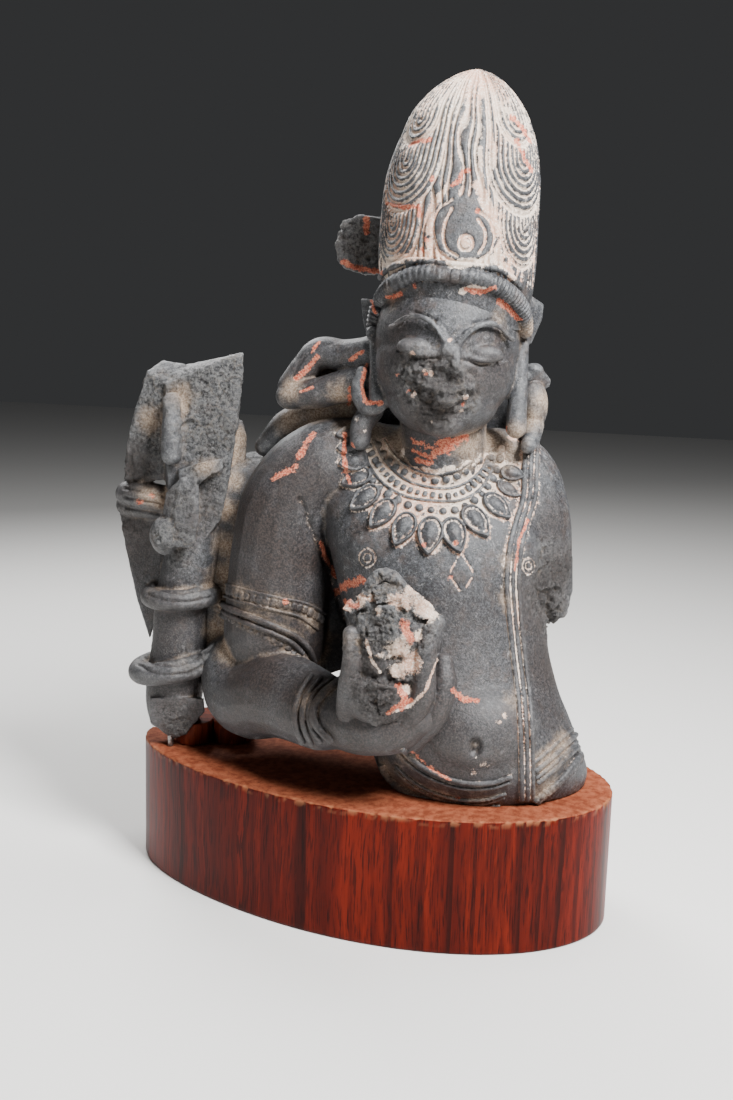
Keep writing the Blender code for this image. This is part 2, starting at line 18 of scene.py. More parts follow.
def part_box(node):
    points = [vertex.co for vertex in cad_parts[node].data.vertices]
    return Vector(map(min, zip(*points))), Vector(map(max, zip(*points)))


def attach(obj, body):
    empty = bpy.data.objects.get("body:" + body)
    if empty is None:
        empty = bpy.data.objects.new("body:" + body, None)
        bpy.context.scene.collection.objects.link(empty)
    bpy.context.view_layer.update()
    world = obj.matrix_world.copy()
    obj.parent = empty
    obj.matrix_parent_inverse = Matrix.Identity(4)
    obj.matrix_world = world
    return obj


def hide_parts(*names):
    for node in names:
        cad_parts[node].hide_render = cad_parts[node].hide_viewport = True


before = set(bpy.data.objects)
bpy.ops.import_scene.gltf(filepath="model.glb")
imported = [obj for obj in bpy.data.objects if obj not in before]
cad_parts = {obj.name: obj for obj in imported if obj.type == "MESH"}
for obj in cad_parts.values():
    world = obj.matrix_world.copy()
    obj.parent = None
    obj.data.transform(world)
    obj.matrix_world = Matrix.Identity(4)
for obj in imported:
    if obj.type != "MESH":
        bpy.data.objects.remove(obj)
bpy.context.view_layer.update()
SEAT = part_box("plinth")[1].z + 0.0003

# %% [markdown]
# ## The camera comes first
# The photograph was taken from a little to the right of the plinth's long side, looking slightly down and
# tipped by less than two degrees. With the camera known, a carved detail can be placed by the pixel where it
# shows: a line of sight through the pixel is followed until it meets the stone.

# %% Camera and lines of sight
WIDTH, HEIGHT, FOCAL = 733, 1100, 1200.0
TURN, PITCH, ROLL = radians(19.2), radians(10.0), radians(1.69)
EYE = Vector((0.2287, -0.6685, 0.3335))

look = Vector((-sin(TURN) * cos(PITCH), cos(TURN) * cos(PITCH), -sin(PITCH)))
level = Vector((cos(TURN), sin(TURN), 0))
rise = level.cross(look)
right = cos(ROLL) * level + sin(ROLL) * rise
up = -sin(ROLL) * level + cos(ROLL) * rise

camera_data = bpy.data.cameras.new("photo_camera")
camera_data.sensor_width = 36
camera_data.lens = 36 * FOCAL / HEIGHT
camera_data.clip_start = 0.01
camera = bpy.data.objects.new("photo_camera", camera_data)
bpy.context.scene.collection.objects.link(camera)
camera.matrix_world = Matrix.Translation(EYE) @ Matrix((right, up, -look)).transposed().to_4x4()
bpy.context.scene.camera = camera

# The carving is worked in millimetres, in the bust's own axes: X to its left arm, Y to its back, Z from the seat up
STAND = Matrix.Translation((0, 0, SEAT)) @ Matrix.Rotation(TURN, 4, "Z") @ Matrix.Scale(0.001, 4)
WORK = STAND.inverted()
EYE_HERE = WORK @ EYE


def sight(px, py):
    """The direction through one pixel of the photograph, in the bust's axes."""
    way = look + right * ((px - WIDTH / 2) / FOCAL) + up * ((HEIGHT / 2 - py) / FOCAL)
    return (WORK.to_3x3() @ way).normalized()


def P(px, py, y):
    """The point behind a pixel where the bust's depth is y."""
    way = sight(px, py)
    return EYE_HERE + way * ((y - EYE_HERE.y) / way.y)


print("lens", round(camera_data.lens, 2), "mm, eye at", [round(v) for v in EYE_HERE])

# %% [markdown]
# ## Clay
# A ball, a limb, a loft and a broken lump are enough to block out the figure. Each is a small closed shape in
# its own bmesh, added to whichever lump of clay is being worked. They may overlap freely, because the voxel
# remesh keeps only the outer skin.

# %% Clay helpers
clay = bmesh.new()


def as_mesh(name, shape):
    data = bpy.data.meshes.new(name)
    shape.to_mesh(data)
    shape.free()
    return data


def tube(shape, rings):
    """Walls between rings of points and a face over both ends."""
    rings = [[shape.verts.new(p) for p in ring] for ring in rings]
    for low, high in zip(rings, rings[1:]):
        for k in range(len(low)):
            j = (k + 1) % len(low)
            shape.faces.new((low[k], low[j], high[j], high[k]))
    shape.faces.new(reversed(rings[0]))
    shape.faces.new(rings[-1])


def add(shape, place=Matrix()):
    bmesh.ops.transform(shape, matrix=place, verts=shape.verts)
    data = as_mesh("clay", shape)
    clay.from_mesh(data)
    bpy.data.meshes.remove(data)


def ball(centre, radii, place=Matrix()):
    shape = bmesh.new()
    bmesh.ops.create_uvsphere(shape, u_segments=40, v_segments=24, radius=1)
    add(shape, place @ Matrix.Translation(centre) @ Matrix.Diagonal((*radii, 1)))


def limb(points, place=Matrix(), flat=1.0):
    """A round limb through (x, y, z, radius) points; flat squeezes it front to back."""
    data = bpy.data.curves.new("limb", "CURVE")
    data.dimensions = "3D"
    data.bevel_depth = 1.0
    data.bevel_resolution = 6
    data.use_fill_caps = True
    data.resolution_u = 10
    spline = data.splines.new("BEZIER")
    spline.bezier_points.add(len(points) - 1)
    for knot, (x, y, z, r) in zip(spline.bezier_points, points):
        knot.co = (x, y / flat, z)
        knot.radius = r
        knot.handle_left_type = knot.handle_right_type = "AUTO"
    holder = bpy.data.objects.new("limb", data)
    bpy.context.scene.collection.objects.link(holder)
    bpy.context.view_layer.update()
    mesh = bpy.data.meshes.new_from_object(holder.evaluated_get(bpy.context.evaluated_depsgraph_get()))
    shape = bmesh.new()
    shape.from_mesh(mesh)
    bmesh.ops.remove_doubles(shape, verts=shape.verts, dist=0.001)
    add(shape, place @ Matrix.Diagonal((1, flat, 1, 1)))
    bpy.data.objects.remove(holder)
    bpy.data.meshes.remove(mesh)
    for x, y, z, r in (points[0], points[-1]):
        ball((x, y, z), (r * 0.98, r * 0.98 * flat, r * 0.98), place=place)


def loft(sections, sides=64):
    """A body through level ellipses, each (x, y, z, half width, half depth)."""
    shape = bmesh.new()
    turns = [2 * pi * k / sides for k in range(sides)]
    tube(shape, [[(x + rx * cos(a), y + ry * sin(a), z) for a in turns] for x, y, z, rx, ry in sections])
    add(shape)


def rock(points, place=Matrix()):
    """A broken lump: the hull of its corners."""
    shape = bmesh.new()
    corners = [shape.verts.new(p) for p in points]
    made = bmesh.ops.convex_hull(shape, input=corners)
    spare = set(made["geom_unused"]) | set(made["geom_interior"])
    bmesh.ops.delete(shape, geom=[v for v in spare if isinstance(v, bmesh.types.BMVert)], context="VERTS")
    add(shape, place)


def eased(sections, steps=4):
    """Sections on a smooth curve through the given ones."""
    rows = [np.array(s, float) for s in sections]
    rows = [2 * rows[0] - rows[1]] + rows + [2 * rows[-1] - rows[-2]]
    out = []
    for a, b, c, d in zip(rows, rows[1:], rows[2:], rows[3:]):
        for k in range(steps):
            t = k / steps
            bend, twist = 2 * a - 5 * b + 4 * c - d, 3 * b - a - 3 * c + d
            out.append(b + 0.5 * ((c - a) * t + bend * t**2 + twist * t**3))
    return out + [rows[-2]]


def limb_at(*places, flat=1.0):
    """A limb through places of the photograph, each (px, py, y, radius)."""
    limb([(*P(px, py, y), r) for px, py, y, r in places], flat=flat)


def rock_at(*places):
    """A broken lump with its corners at places of the photograph, each (px, py, y)."""
    rock([P(*place) for place in places])


print("clay is ready")

# %% [markdown]
# ## From clay to stone
# The remesh turns the heap of forms into one skin. A smoothing pass melts the seams, as a carver's abrasive
# would. Every lump is kept in carving millimetres until its details are done.

# %% Firing the clay
bench = bpy.data.collections.new("bench")
bpy.context.scene.collection.children.link(bench)


def keep(name, mesh):
    thing = bpy.data.objects.new(name, mesh)
    bench.objects.link(thing)
    return thing


def settle(thing):
    """Apply an object's modifiers to its mesh."""
    bpy.context.view_layer.update()
    done = bpy.data.meshes.new_from_object(thing.evaluated_get(bpy.context.evaluated_depsgraph_get()))
    thing.modifiers.clear()
    old, thing.data = thing.data, done
    bpy.data.meshes.remove(old)
    return thing


def melted(name, shape, voxel, smooth):
    """One closed skin over all that a bmesh holds."""
    thing = keep(name, as_mesh(name, shape))
    melt = thing.modifiers.new("melt", "REMESH")
    melt.mode, melt.voxel_size = "VOXEL", voxel
    rub = thing.modifiers.new("rub", "SMOOTH")
    rub.factor, rub.iterations = 0.5, smooth
    settle(thing)
    print(name, "has", len(thing.data.polygons), "faces")
    return thing


def fire(name, voxel, smooth):
    """Melt the clay into one closed skin and start a fresh lump."""
    global clay
    thing = melted(name, clay, voxel, smooth)
    clay = bmesh.new()
    return thing


def skin(*things):
    """What a line of sight can hit."""
    heap = bmesh.new()
    for thing in things:
        heap.from_mesh(thing.data)
    tree = BVHTree.FromBMesh(heap)
    heap.free()
    return tree


def seen(px, py, on):
    """Where the line of sight through a pixel meets the stone."""
    return on.ray_cast(EYE_HERE, sight(px, py))[0]


# %% [markdown]
# ## The torso and the arms
# The body is a loft of ellipses: narrow at the waist, broad at the chest, with a full belly below. The bust's
# right arm hangs from a round shoulder to the elbow, and the forearm comes forward to the bowl. The left arm is
# broken off above the elbow. Behind, a rough slab still ties the arm to the staff, as the carver left it.

# %% Torso, arms and the back slab
loft(eased([
    (70, -20, -4, 60, 47), (68, -22, 8, 63, 53), (63.5, -24, 22, 62, 58), (58.5, -25, 39, 60, 59),
    (53.5, -24, 52, 59, 57), (48.5, -22, 67, 59, 53), (45.5, -20, 82, 58.5, 50), (42.5, -17, 103, 60, 48),
    (39.5, -14, 130, 64, 48), (37.5, -10, 150, 67, 46), (34, -6, 165, 68, 41), (32, -4, 177, 62, 34),
    (35, -4, 188, 44, 27), (37, -6, 196, 28, 22),
]))
ball((10, -30, 138), (27, 24, 25))
ball((72, -29, 137), (25, 23, 24))
ball((60, -48, 42), (42, 40, 34))
ball((15, 18, 140), (30, 20, 36))
ball((70, 16, 138), (26, 18, 34))
limb([(40, -10, 165, 27), (38.5, -15, 185, 25.5), (37.5, -20, 205, 25)])
limb_at((470, 455, -6, 18), (512, 476, -6, 25), (524, 515, -8, 27), (530, 560, -10, 25))
limb_at(
    (395, 458, -4, 20), (330, 466, -2, 28), (293, 500, 0, 29), (282, 545, 2, 30), (279, 590, 4, 32),
    (277, 630, 6, 33),
)
limb_at((240, 668, 14, 25), (247, 692, 2, 25.5), (283, 695, -26, 25.5), (322, 712, -52, 22))
limb_at((322, 712, -52, 22), (345, 716, -64, 19), (368, 722, -76, 18.5), (396, 722, -84, 17), (416, 714, -88, 13))
rock_at(
    (533, 556, -30), (560, 545, -26), (573, 556, -8), (573, 592, -10), (565, 616, -18), (548, 627, -14),
    (536, 606, -28), (545, 575, -38), (560, 600, 14), (568, 560, 16), (545, 560, 18),
)
rock([(-112, 24, 168), (-112, 44, 176), (-60, 30, 184), (-60, 46, 186), (0, 40, 182), (0, 20, 190),
      (-112, 44, 40), (-70, 46, 34), (0, 46, 60), (-112, 20, 40), (-70, 8, 34), (-10, -6, 60), (-30, -2, 100)])
limb_at((352, 410, 10, 9), (318, 414, 16, 9), (288, 424, 22, 9), (266, 446, 26, 7), flat=1.2)
torso = fire("bust_torso", 1.0, 10)

# %% [markdown]
# ## The hand and the bowl
# The right hand holds a bowl of food before the chest, or what is left of it: a craggy lump between four worn
# fingers. It is a lump of its own, because it needs a finer skin than the smooth body.

# %% Hand and bowl
limb_at((368, 722, -76, 18), (396, 722, -84, 16), (412, 716, -88, 12))
limb_at((352, 716, -80, 9), (349, 688, -93, 6.2), (352, 658, -99, 5.2), (351, 634, -98, 4.4))
limb_at((404, 724, -92, 8), (422, 696, -99, 6.8), (426, 662, -102, 5.4), (431, 632, -100, 5.2), (438, 622, -98, 4.2))
limb_at((412, 738, -82, 8.5), (434, 712, -90, 8), (444, 684, -90, 7), (444, 662, -87, 5))
ball(P(385, 690, -88), (24, 17, 20))
ball(P(392, 668, -82), (25, 20, 26))
ball(P(398, 640, -80), (24, 18, 20))
rock_at(
    (344, 612, -86), (352, 600, -84), (372, 595, -96), (383, 579, -84), (398, 582, -84), (410, 594, -86),
    (436, 612, -86), (444, 624, -80), (420, 640, -94), (380, 640, -98), (350, 626, -94), (385, 620, -60),
    (425, 640, -62), (390, 600, -60),
)
ball(P(388, 634, -90), (22, 16, 30))
# Wedge, arch, boulders and slabs of the broken bowl
rock_at((341, 609, -98), (350, 599, -96), (368, 594, -98), (370, 606, -104), (352, 614, -102), (360, 604, -84))
limb_at((369, 598, -96, 3.4), (372, 583, -96, 3.2), (384, 574, -94, 3.2), (397, 581, -94, 3.4), (404, 592, -94, 3.4))
rock_at((372, 590, -100), (384, 583, -98), (396, 590, -100), (394, 603, -104), (376, 604, -106), (384, 594, -88))
rock_at(
    (396, 590, -98), (410, 586, -94), (430, 602, -96), (440, 616, -96), (424, 620, -102), (402, 606, -104),
    (415, 604, -84),
)
rock_at(
    (376, 606, -106), (394, 604, -108), (400, 618, -106), (396, 640, -108), (382, 642, -106), (374, 624, -104),
    (388, 620, -90),
)
rock_at(
    (358, 612, -101), (372, 610, -104), (378, 640, -106), (388, 668, -106), (378, 678, -104), (366, 662, -102),
    (358, 636, -100), (370, 640, -88),
)
rock_at(
    (388, 646, -104), (412, 636, -100), (420, 658, -102), (414, 680, -102), (396, 682, -105), (386, 668, -104),
    (400, 660, -88),
)
rock_at(
    (352, 690, -100), (372, 682, -107), (398, 688, -108), (396, 712, -106), (376, 728, -100), (354, 714, -98),
    (376, 700, -84),
)
hand = fire("hand_and_bowl", 0.6, 1)

# %% [markdown]
# ## The head
# The face is a calm one on the usual proportions for such figures: eyes at half the head's height, brows in
# two arches, lids lowered. The nose and mouth are battered, as on the real stone. The head leans a few
# degrees. Ears, earrings and the locks that fall on the shoulders belong to the same lump.

# %% Head, ears and locks
HEAD = Matrix.Translation((37.5, -24, 250)) @ Matrix.Rotation(radians(4), 4, "Y")
ball((0, 0, 6), (40.5, 43, 44), place=HEAD)
ball((0, -6, -8), (39, 38, 36), place=HEAD)
ball((0, -11, -24), (32, 30, 24), place=HEAD)
ball((0, -27, -36), (14, 11, 11), place=HEAD)
for side in (-1, 1):
    limb([(side * x, y, z, 1.6) for x, y, z in ((3, -43, 4), (11, -43.5, 13), (21, -39.5, 16), (33, -30, 9))],
         place=HEAD)
    ball((side * 17.5, -36.4, 0), (11, 6.4, 5.4), place=HEAD)
    limb([(side * x, y, z, 1.1) for x, y, z in ((7, -41, -1.5), (17, -42.2, -3.4), (28, -36, -0.5))], place=HEAD)
rock([(-4, -43, 6), (4, -43, 6), (-9, -43, -11), (9, -43, -12), (-5, -48, -7), (5, -47.5, -9), (0, -46, 0),
      (0, -40, -16), (0, -38, 4)], place=HEAD)
limb([(-13, -40, -19, 2.4), (0, -43.5, -21, 3.2), (13, -40, -18, 2.4)], place=HEAD)
limb([(-10, -40, -24, 2.2), (0, -42.5, -26, 3.2), (10, -40, -23, 2.2)], place=HEAD)
ball((40, 0, 258), (36, 36, 44))
limb([(40, 14, 250, 30), (40, 20, 215, 26), (40, 22, 185, 24)])
rock([(-12, 8, 184), (90, 8, 184), (-4, 8, 226), (80, 8, 226), (-12, 32, 184), (90, 32, 184), (0, 32, 230),
      (76, 32, 230)])
limb([(40, -14, 178, 24), (38.5, -17, 190, 24.5), (37.5, -20, 215, 25)])
# Ears, the left one's ring and the tuft beside the right one
rock_at(
    (360, 298, -8), (378, 300, -22), (382, 330, -24), (378, 348, -20), (368, 340, -12), (362, 320, -8),
    (375, 300, -4), (376, 345, -4),
)
limb_at((377, 340, -24, 4), (377, 370, -30, 4.2), (377, 396, -34, 4.6))
limb_at((362, 372, -26, 3.4), (358, 392, -28, 4.2), (370, 408, -32, 4.6), (384, 401, -34, 3.6), (388, 388, -32, 2.6))
rock_at(
    (524, 302, -20), (531, 295, -8), (544, 304, -4), (543, 318, -6), (531, 345, -12), (524, 350, -22),
    (530, 300, 4), (536, 326, 2),
)
limb_at((521, 345, -26, 4.5), (519, 380, -30, 5), (516, 428, -34, 6))
ball(P(533, 406, -12), (8.5, 12, 15))
limb_at((522, 377, -14, 4), (535, 375, -12, 4.6), (544, 382, -8, 4))
ball(P(534, 370, -12), (5.5, 6, 4))
limb_at((534, 425, -18, 6), (531, 440, -26, 5), (528, 446, -32, 4.5))
# Two locks over the right shoulder, with the hollow between them
limb_at((372, 352, -14, 9), (345, 355, -4, 9), (320, 354, 2, 9.5), (306, 367, 4, 8.5), (291, 386, 6, 8))
limb_at((372, 380, -18, 9), (345, 386, -10, 9.5), (318, 393, -4, 9), (289, 396, 4, 8))
rock_at(
    (372, 352, 6), (345, 356, 10), (310, 356, 12), (296, 380, 12), (296, 398, 12), (345, 392, 8), (372, 388, 4),
    (372, 352, 18), (310, 356, 22), (296, 395, 22), (372, 392, 18),
)
limb_at((372, 410, -24, 7), (362, 425, -28, 6.5), (360, 440, -30, 6))
# The broken disc behind the crown
rock_at(
    (380, 218, 12), (360, 215, 14), (343, 221, 15), (337, 240, 16), (337, 261, 16), (346, 269, 15), (366, 275, 14),
    (385, 272, 10), (380, 218, 28), (360, 216, 28), (346, 223, 28), (338, 241, 28), (338, 260, 28), (346, 268, 28),
    (366, 274, 28), (440, 272, 24), (440, 225, 24), (420, 272, 10), (420, 225, 10),
)
head = fire("bust_head", 0.85, 4)

# %% [markdown]
# ## The staff and its broken block
# The staff is a tapering round post with two rope rings. Above, the stone is fractured: a ragged block, the
# stump of the hand that gripped the staff, and a thinner slab behind.

# %% Staff, rings and broken block
loft(eased([
    (-122, 22, 12, 15, 14), (-122.5, 22, 27, 17.5, 16), (-121, 22, 46, 18, 16.5), (-118.5, 22, 66, 17.5, 16.5),
    (-117.5, 22, 88, 17, 16.5), (-113, 22, 111, 17.5, 16.5), (-109.5, 23, 131, 17, 16.5),
    (-107, 24, 156, 17, 17), (-106, 26, 180, 18, 17),
]))
rock_at(
    (150, 722, 6), (172, 739, 14), (186, 734, 10), (205, 712, 8), (204, 698, 6), (150, 698, 4), (150, 700, 34),
    (200, 700, 34), (176, 734, 30), (152, 720, 30),
)


def rope_ring(centre, rx, ry, thick, tilt, knot):
    """A cord tied round the staff, drawn out to a knot on its right."""
    turned = []
    for k in range(13):
        a = 2 * pi * k / 12
        out = 1 + knot * max(0.0, cos(a)) ** 6
        turned.append((centre[0] + rx * cos(a) * out, centre[1] + ry * sin(a), centre[2] + tilt * cos(a), thick))
    limb(turned)


rope_ring(P(182, 594, 20), 19, 19, 6.5, 1.0, 0.05)
rope_ring(P(174, 664, 20), 21, 20, 7.2, 4.0, 0.15)
rock_at((200, 652, 2), (217, 640, 6), (219, 655, 2), (214, 668, 0), (200, 676, 4), (200, 660, 24), (216, 655, 24))
rock_at(
    (166, 384, 12), (205, 366, 6), (243, 353, 12), (241, 395, 8), (236, 432, 6), (229, 478, 6), (221, 520, 8),
    (205, 540, 8), (172, 540, 10), (166, 455, 8), (153, 372, 40), (243, 353, 44), (236, 432, 46), (221, 520, 42),
    (175, 520, 42), (160, 400, 42),
)
rock_at(
    (235, 416, 26), (243, 420, 28), (247, 436, 30), (246, 458, 30), (238, 474, 28), (228, 486, 26), (236, 440, 44),
    (244, 460, 44), (228, 480, 44),
)
rock_at(
    (178, 470, -2), (200, 462, -6), (222, 459, 0), (222, 470, 0), (204, 480, -8), (180, 490, -8), (180, 470, 20),
    (222, 466, 20),
)
rock_at(
    (166, 492, -2), (182, 476, -8), (199, 480, -6), (199, 520, -8), (194, 548, -4), (172, 548, -6), (160, 530, 0),
    (166, 500, 20), (196, 500, 20), (180, 540, 20),
)
ball(P(166, 535, 2), (9.5, 12, 12))
limb_at((172, 402, 6, 5.5), (172, 430, 4, 6), (171, 455, 4, 6))
rock_at(
    (147, 371, 22), (163, 360, 30), (186, 364, 26), (168, 384, 14), (168, 440, 18), (164, 480, 20), (124, 480, 26),
    (127, 450, 24), (133, 415, 22), (152, 372, 52), (134, 430, 52), (128, 476, 54), (168, 470, 54),
)
limb_at((128, 494, 36, 8), (146, 496, 26, 9), (166, 500, 26, 9))
limb_at((126, 505, 38, 6.5), (146, 507, 28, 7), (166, 510, 28, 7))
rock_at(
    (117, 488, 40), (127, 478, 36), (160, 500, 26), (164, 560, 26), (160, 600, 26), (150, 640, 30), (137, 600, 34),
    (125, 545, 36), (119, 508, 38), (122, 490, 60), (135, 560, 56), (152, 630, 46), (165, 540, 54),
)
staff = fire("broken_staff", 0.9, 1)

# %% [markdown]
# ## The crown of matted hair
# The crown is a pointed dome, so it can be a simple grid wrapped round a loft, fine enough to carry the strands.
# It is finer in front, where the carving is. The strands follow a rule: they fall from the apex, and on each side
# they turn back up in three whorls, one under another. Each whorl is a set of nested hairpins, round below its
# eye and straight above it, with one groove for every strand's width. Between the whorls the strands run free.

# %% Wrap the crown's grid
CROWN = eased([
    (42, -19, 262, 40, 42), (42.5, -19.5, 282, 42, 43.5), (42, -20, 292, 43.4, 44.5), (41.8, -19.5, 305, 44, 45),
    (42.3, -18, 321, 43.7, 45), (43.2, -16, 338, 43.2, 44), (44.4, -14, 352, 41.3, 42.5), (45.6, -12, 365, 37.6, 39),
    (46, -11, 379, 31.8, 33), (47.2, -10, 391, 22.3, 23), (48.4, -10, 398.5, 12, 13), (49, -10, 402.2, 3, 3.2),
], 8)
AROUND, ALONG = 420, 222
rows = np.array(CROWN)
run = np.concatenate([[0], np.cumsum(np.hypot(np.diff(rows[:, 2]), np.diff(rows[:, 3])))])
steps = np.linspace(0, run[-1], ALONG)
level_rows = np.stack([np.interp(steps, run, rows[:, k]) for k in range(5)], axis=1)
bearing = np.linspace(-pi, pi, AROUND, endpoint=False)
bearing -= 0.3 * np.sin(bearing)


def dome(angle, row):
    """A point of the smooth dome: angle from the front, towards the bust's left."""
    x, y, z, rx, ry = (row[..., k] for k in range(5))
    return np.stack([x + rx * np.sin(angle), y - ry * np.cos(angle), z + 0 * angle], axis=-1)


grid = dome(bearing[None, :], level_rows[:, None, :])
heap = bmesh.new()
tube(heap, grid)
crown = keep("crown_hair", as_mesh("crown_hair", heap))
dome_skin = skin(crown)
print("crown grid", AROUND, "by", ALONG)

# %% [markdown]
# Each whorl is given by the pixel of its eye and by the size of its outermost hairpin, in millimetres.

# %% Wind the whorls
STRAND, NARROW, STRAND_DEPTH = 3.7, 0.82, 1.7


def whorl(px, py, size):
    eye = seen(px, py, dome_skin)
    row = level_rows[np.argmin(np.abs(level_rows[:, 2] - eye.z))]
    return {"angle": atan2(eye.x - row[0], -(eye.y - row[1])), "z": eye.z, "radius": row[3], "size": size}


# The upper whorls lie over the lower ones
WHORLS = [
    whorl(421, 116, 15), whorl(517, 118, 15), whorl(406, 158, 28), whorl(526, 158, 30), whorl(392, 222, 25),
    whorl(527, 224, 23),
]


def strands(points, angle, radius):
    """How deep the groove is at each point of the crown, from 0 to 1."""
    z = points[..., 2]
    free = np.ones(z.shape)
    groove = np.zeros(z.shape)
    for spot in WHORLS:
        across = (angle - spot["angle"]) * spot["radius"] / NARROW
        below = np.maximum(spot["z"] - z, 0)
        size = np.hypot(across, below)
        inside = np.clip((spot["size"] - size) / 0.8 + 0.5, 0, 1) * free
        turn = size / STRAND + 0.5
        gap = np.abs(turn - np.round(turn)) * STRAND * (NARROW + (1 - NARROW) * below / (size + 0.01))
        groove = np.maximum(groove, inside * np.exp(-((gap / 0.72) ** 2)))
        edge = np.exp(-(((size - spot["size"]) / 1.3) ** 2)) * free
        groove = np.maximum(groove, edge)
        free = free * (1 - inside)
    turn = angle * 54 / (2 * pi) + 0.3 * np.sin(z / 11) + 0.2 * np.sin(z / 5 + angle * 9) + 0.22 * np.sin(angle * 23)
    gap = np.abs(turn - np.round(turn)) * 2 * pi * radius / 54
    return np.maximum(groove, free * np.exp(-((gap / 1.0) ** 2)))


angle = np.broadcast_to(bearing[None, :], grid.shape[:2])
radius = np.broadcast_to(level_rows[:, 3][:, None], grid.shape[:2])
front = np.clip((radians(125) - np.abs(angle)) / 0.25, 0, 1)
fade = np.clip(radius / 10, 0.25, 1) * np.clip((grid[..., 2] - 284) / 3, 0, 1)
groove = strands(grid, angle, radius) * front * fade
# The lyre-shaped jewel over the forehead keeps a smooth ground
jewel = P(463, 232, -62)
reach = np.hypot((grid[..., 0] - jewel.x) / 15.5, (grid[..., 2] - jewel.z) / 18)
groove *= 1 - np.clip((1.1 - reach) / 0.15, 0, 1) * (grid[..., 1] < -20)
out = np.stack([np.sin(angle), -np.cos(angle), 0 * angle], axis=-1)
flow = grid - out * (STRAND_DEPTH * groove)[..., None]
crown.data.vertices.foreach_set("co", flow.reshape(-1, 3).astype(np.float32).ravel())
crown.data.update()
slot = crown.data.attributes.new("cut", "FLOAT", "POINT")
slot.data.foreach_set("value", groove.ravel().astype(np.float32))
print("deepest groove", round(float(groove.max()) * STRAND_DEPTH, 2), "mm")

# %% [markdown]
# ## Geometry Nodes for carving
# Small node trees do the work that repeats. The first cuts a soft groove along a set of lines: it measures how far
# each point of the stone is from the nearest line and pushes it in. How much was cut is kept as an attribute for
# the paint. It is stored before the surface moves, because a field is worked out on the geometry that it reaches.

# %% Tree builder
def tree(name, inputs):
    """A tree with named inputs. It becomes the net that the next nodes are added to."""
    global net
    net = bpy.data.node_groups.new(name, "GeometryNodeTree")
    net.interface.new_socket("Geometry", in_out="INPUT", socket_type="NodeSocketGeometry")
    for label, kind, value in inputs:
        slot = net.interface.new_socket(label, in_out="INPUT", socket_type="NodeSocket" + kind)
        if value is not None:
            slot.default_value = value
    net.interface.new_socket("Geometry", in_out="OUTPUT", socket_type="NodeSocketGeometry")
    return net, net.nodes.new("NodeGroupInput").outputs


def node(kind, links=(), **settings):
    """A node with its settings. A link pairs an input's name or index with a value, an output or a whole node."""
    new = net.nodes.new(kind)
    for key, value in settings.items():
        setattr(new, key, value)
    for socket, source in links:
        if isinstance(source, bpy.types.Node):
            source = source.outputs[0]
        if isinstance(source, bpy.types.NodeSocket):
            net.links.new(source, new.inputs[socket])
        else:
            new.inputs[socket].default_value = source
    return new


def sums(operation, a, b=0.0):
    return node("ShaderNodeMath", [(0, a), (1, b)], operation=operation)


def product(*factors):
    total = factors[0]
    for factor in factors[1:]:
        total = sums("MULTIPLY", total, factor)
    return total


def vectors(operation, a, b):
    return node("ShaderNodeVectorMath", [(0, a), ("Scale" if operation == "SCALE" else 1, b)], operation=operation)


def span(value, low, high, to_low=0.0, to_high=1.0, kind="SMOOTHSTEP"):
    """Where a value lies between low and high, as a soft step."""
    return node("ShaderNodeMapRange", [
        ("Value", value), ("From Min", low), ("From Max", high), ("To Min", to_low), ("To Max", to_high),
    ], interpolation_type=kind)


def noise(place, scale, detail=4.0, rough=0.6):
    return node("ShaderNodeTexNoise", [("Vector", place), ("Scale", scale), ("Detail", detail), ("Roughness", rough)])


def named(name, kind="FLOAT"):
    return node("GeometryNodeInputNamedAttribute", [("Name", name)], data_type=kind)


def marked(geometry, name, value):
    """The geometry with a value stored on its points."""
    return node("GeometryNodeStoreNamedAttribute", [
        ("Geometry", geometry), ("Name", name), ("Value", value),
    ], data_type="FLOAT", domain="POINT")


def pushed(geometry, amount, way=None):
    """The geometry moved along its normals, or another way."""
    way = way or node("GeometryNodeInputNormal")
    return node("GeometryNodeSetPosition", [("Geometry", geometry), ("Offset", vectors("SCALE", way, amount))])


def ends(last):
    net.links.new(last.outputs[0], net.nodes.new("NodeGroupOutput").inputs[0])


def apply_tree(thing, made, **values):
    """Run a tree on an object, with its named inputs set, and keep the result as a plain mesh."""
    added = thing.modifiers.new(made.name, "NODES")
    added.node_group = made
    for item in made.interface.items_tree:
        if item.in_out == "INPUT" and item.name.replace(" ", "_") in values:
            added[item.identifier] = values[item.name.replace(" ", "_")]
    return settle(thing)


# %% Groove tree
groove_tree, given = tree("cut along lines", [
    ("Lines", "Object", None), ("Width", "Float", 1.5), ("Depth", "Float", 1.0), ("Paint", "Float", 1.0),
])
lines = node("GeometryNodeObjectInfo", [("Object", given["Lines"])])
near = node("GeometryNodeProximity", [(0, lines.outputs["Geometry"])], target_element="EDGES")
soft = span(near.outputs["Distance"], 0.0, given["Width"], 1.0, 0.0)
painted = marked(given["Geometry"], "cut", sums("MAXIMUM", named("cut"), product(soft, given["Paint"])))
ends(pushed(painted, product(soft, given["Depth"], -1.0)))


def trace(points, on, steps=8):
    """A smooth line over the stone through pixels of the photograph, as points in the bust's axes."""
    laid = []
    for px, py in eased(points, steps):
        hit = seen(px, py, on)
        if hit is not None:
            laid.append(hit)
    return laid


def as_lines(name, runs):
    """Runs of points as one mesh of edges."""
    made = bmesh.new()
    for run_points in runs:
        verts = [made.verts.new(p) for p in run_points]
        for a, b in zip(verts, verts[1:]):
            made.edges.new((a, b))
    return keep(name, as_mesh(name, made))


def cut(thing, runs, width, depth, paint):
    guide = as_lines("guide", runs)
    apply_tree(thing, groove_tree, Lines=guide, Width=width, Depth=depth, Paint=paint)
    bpy.data.objects.remove(guide)


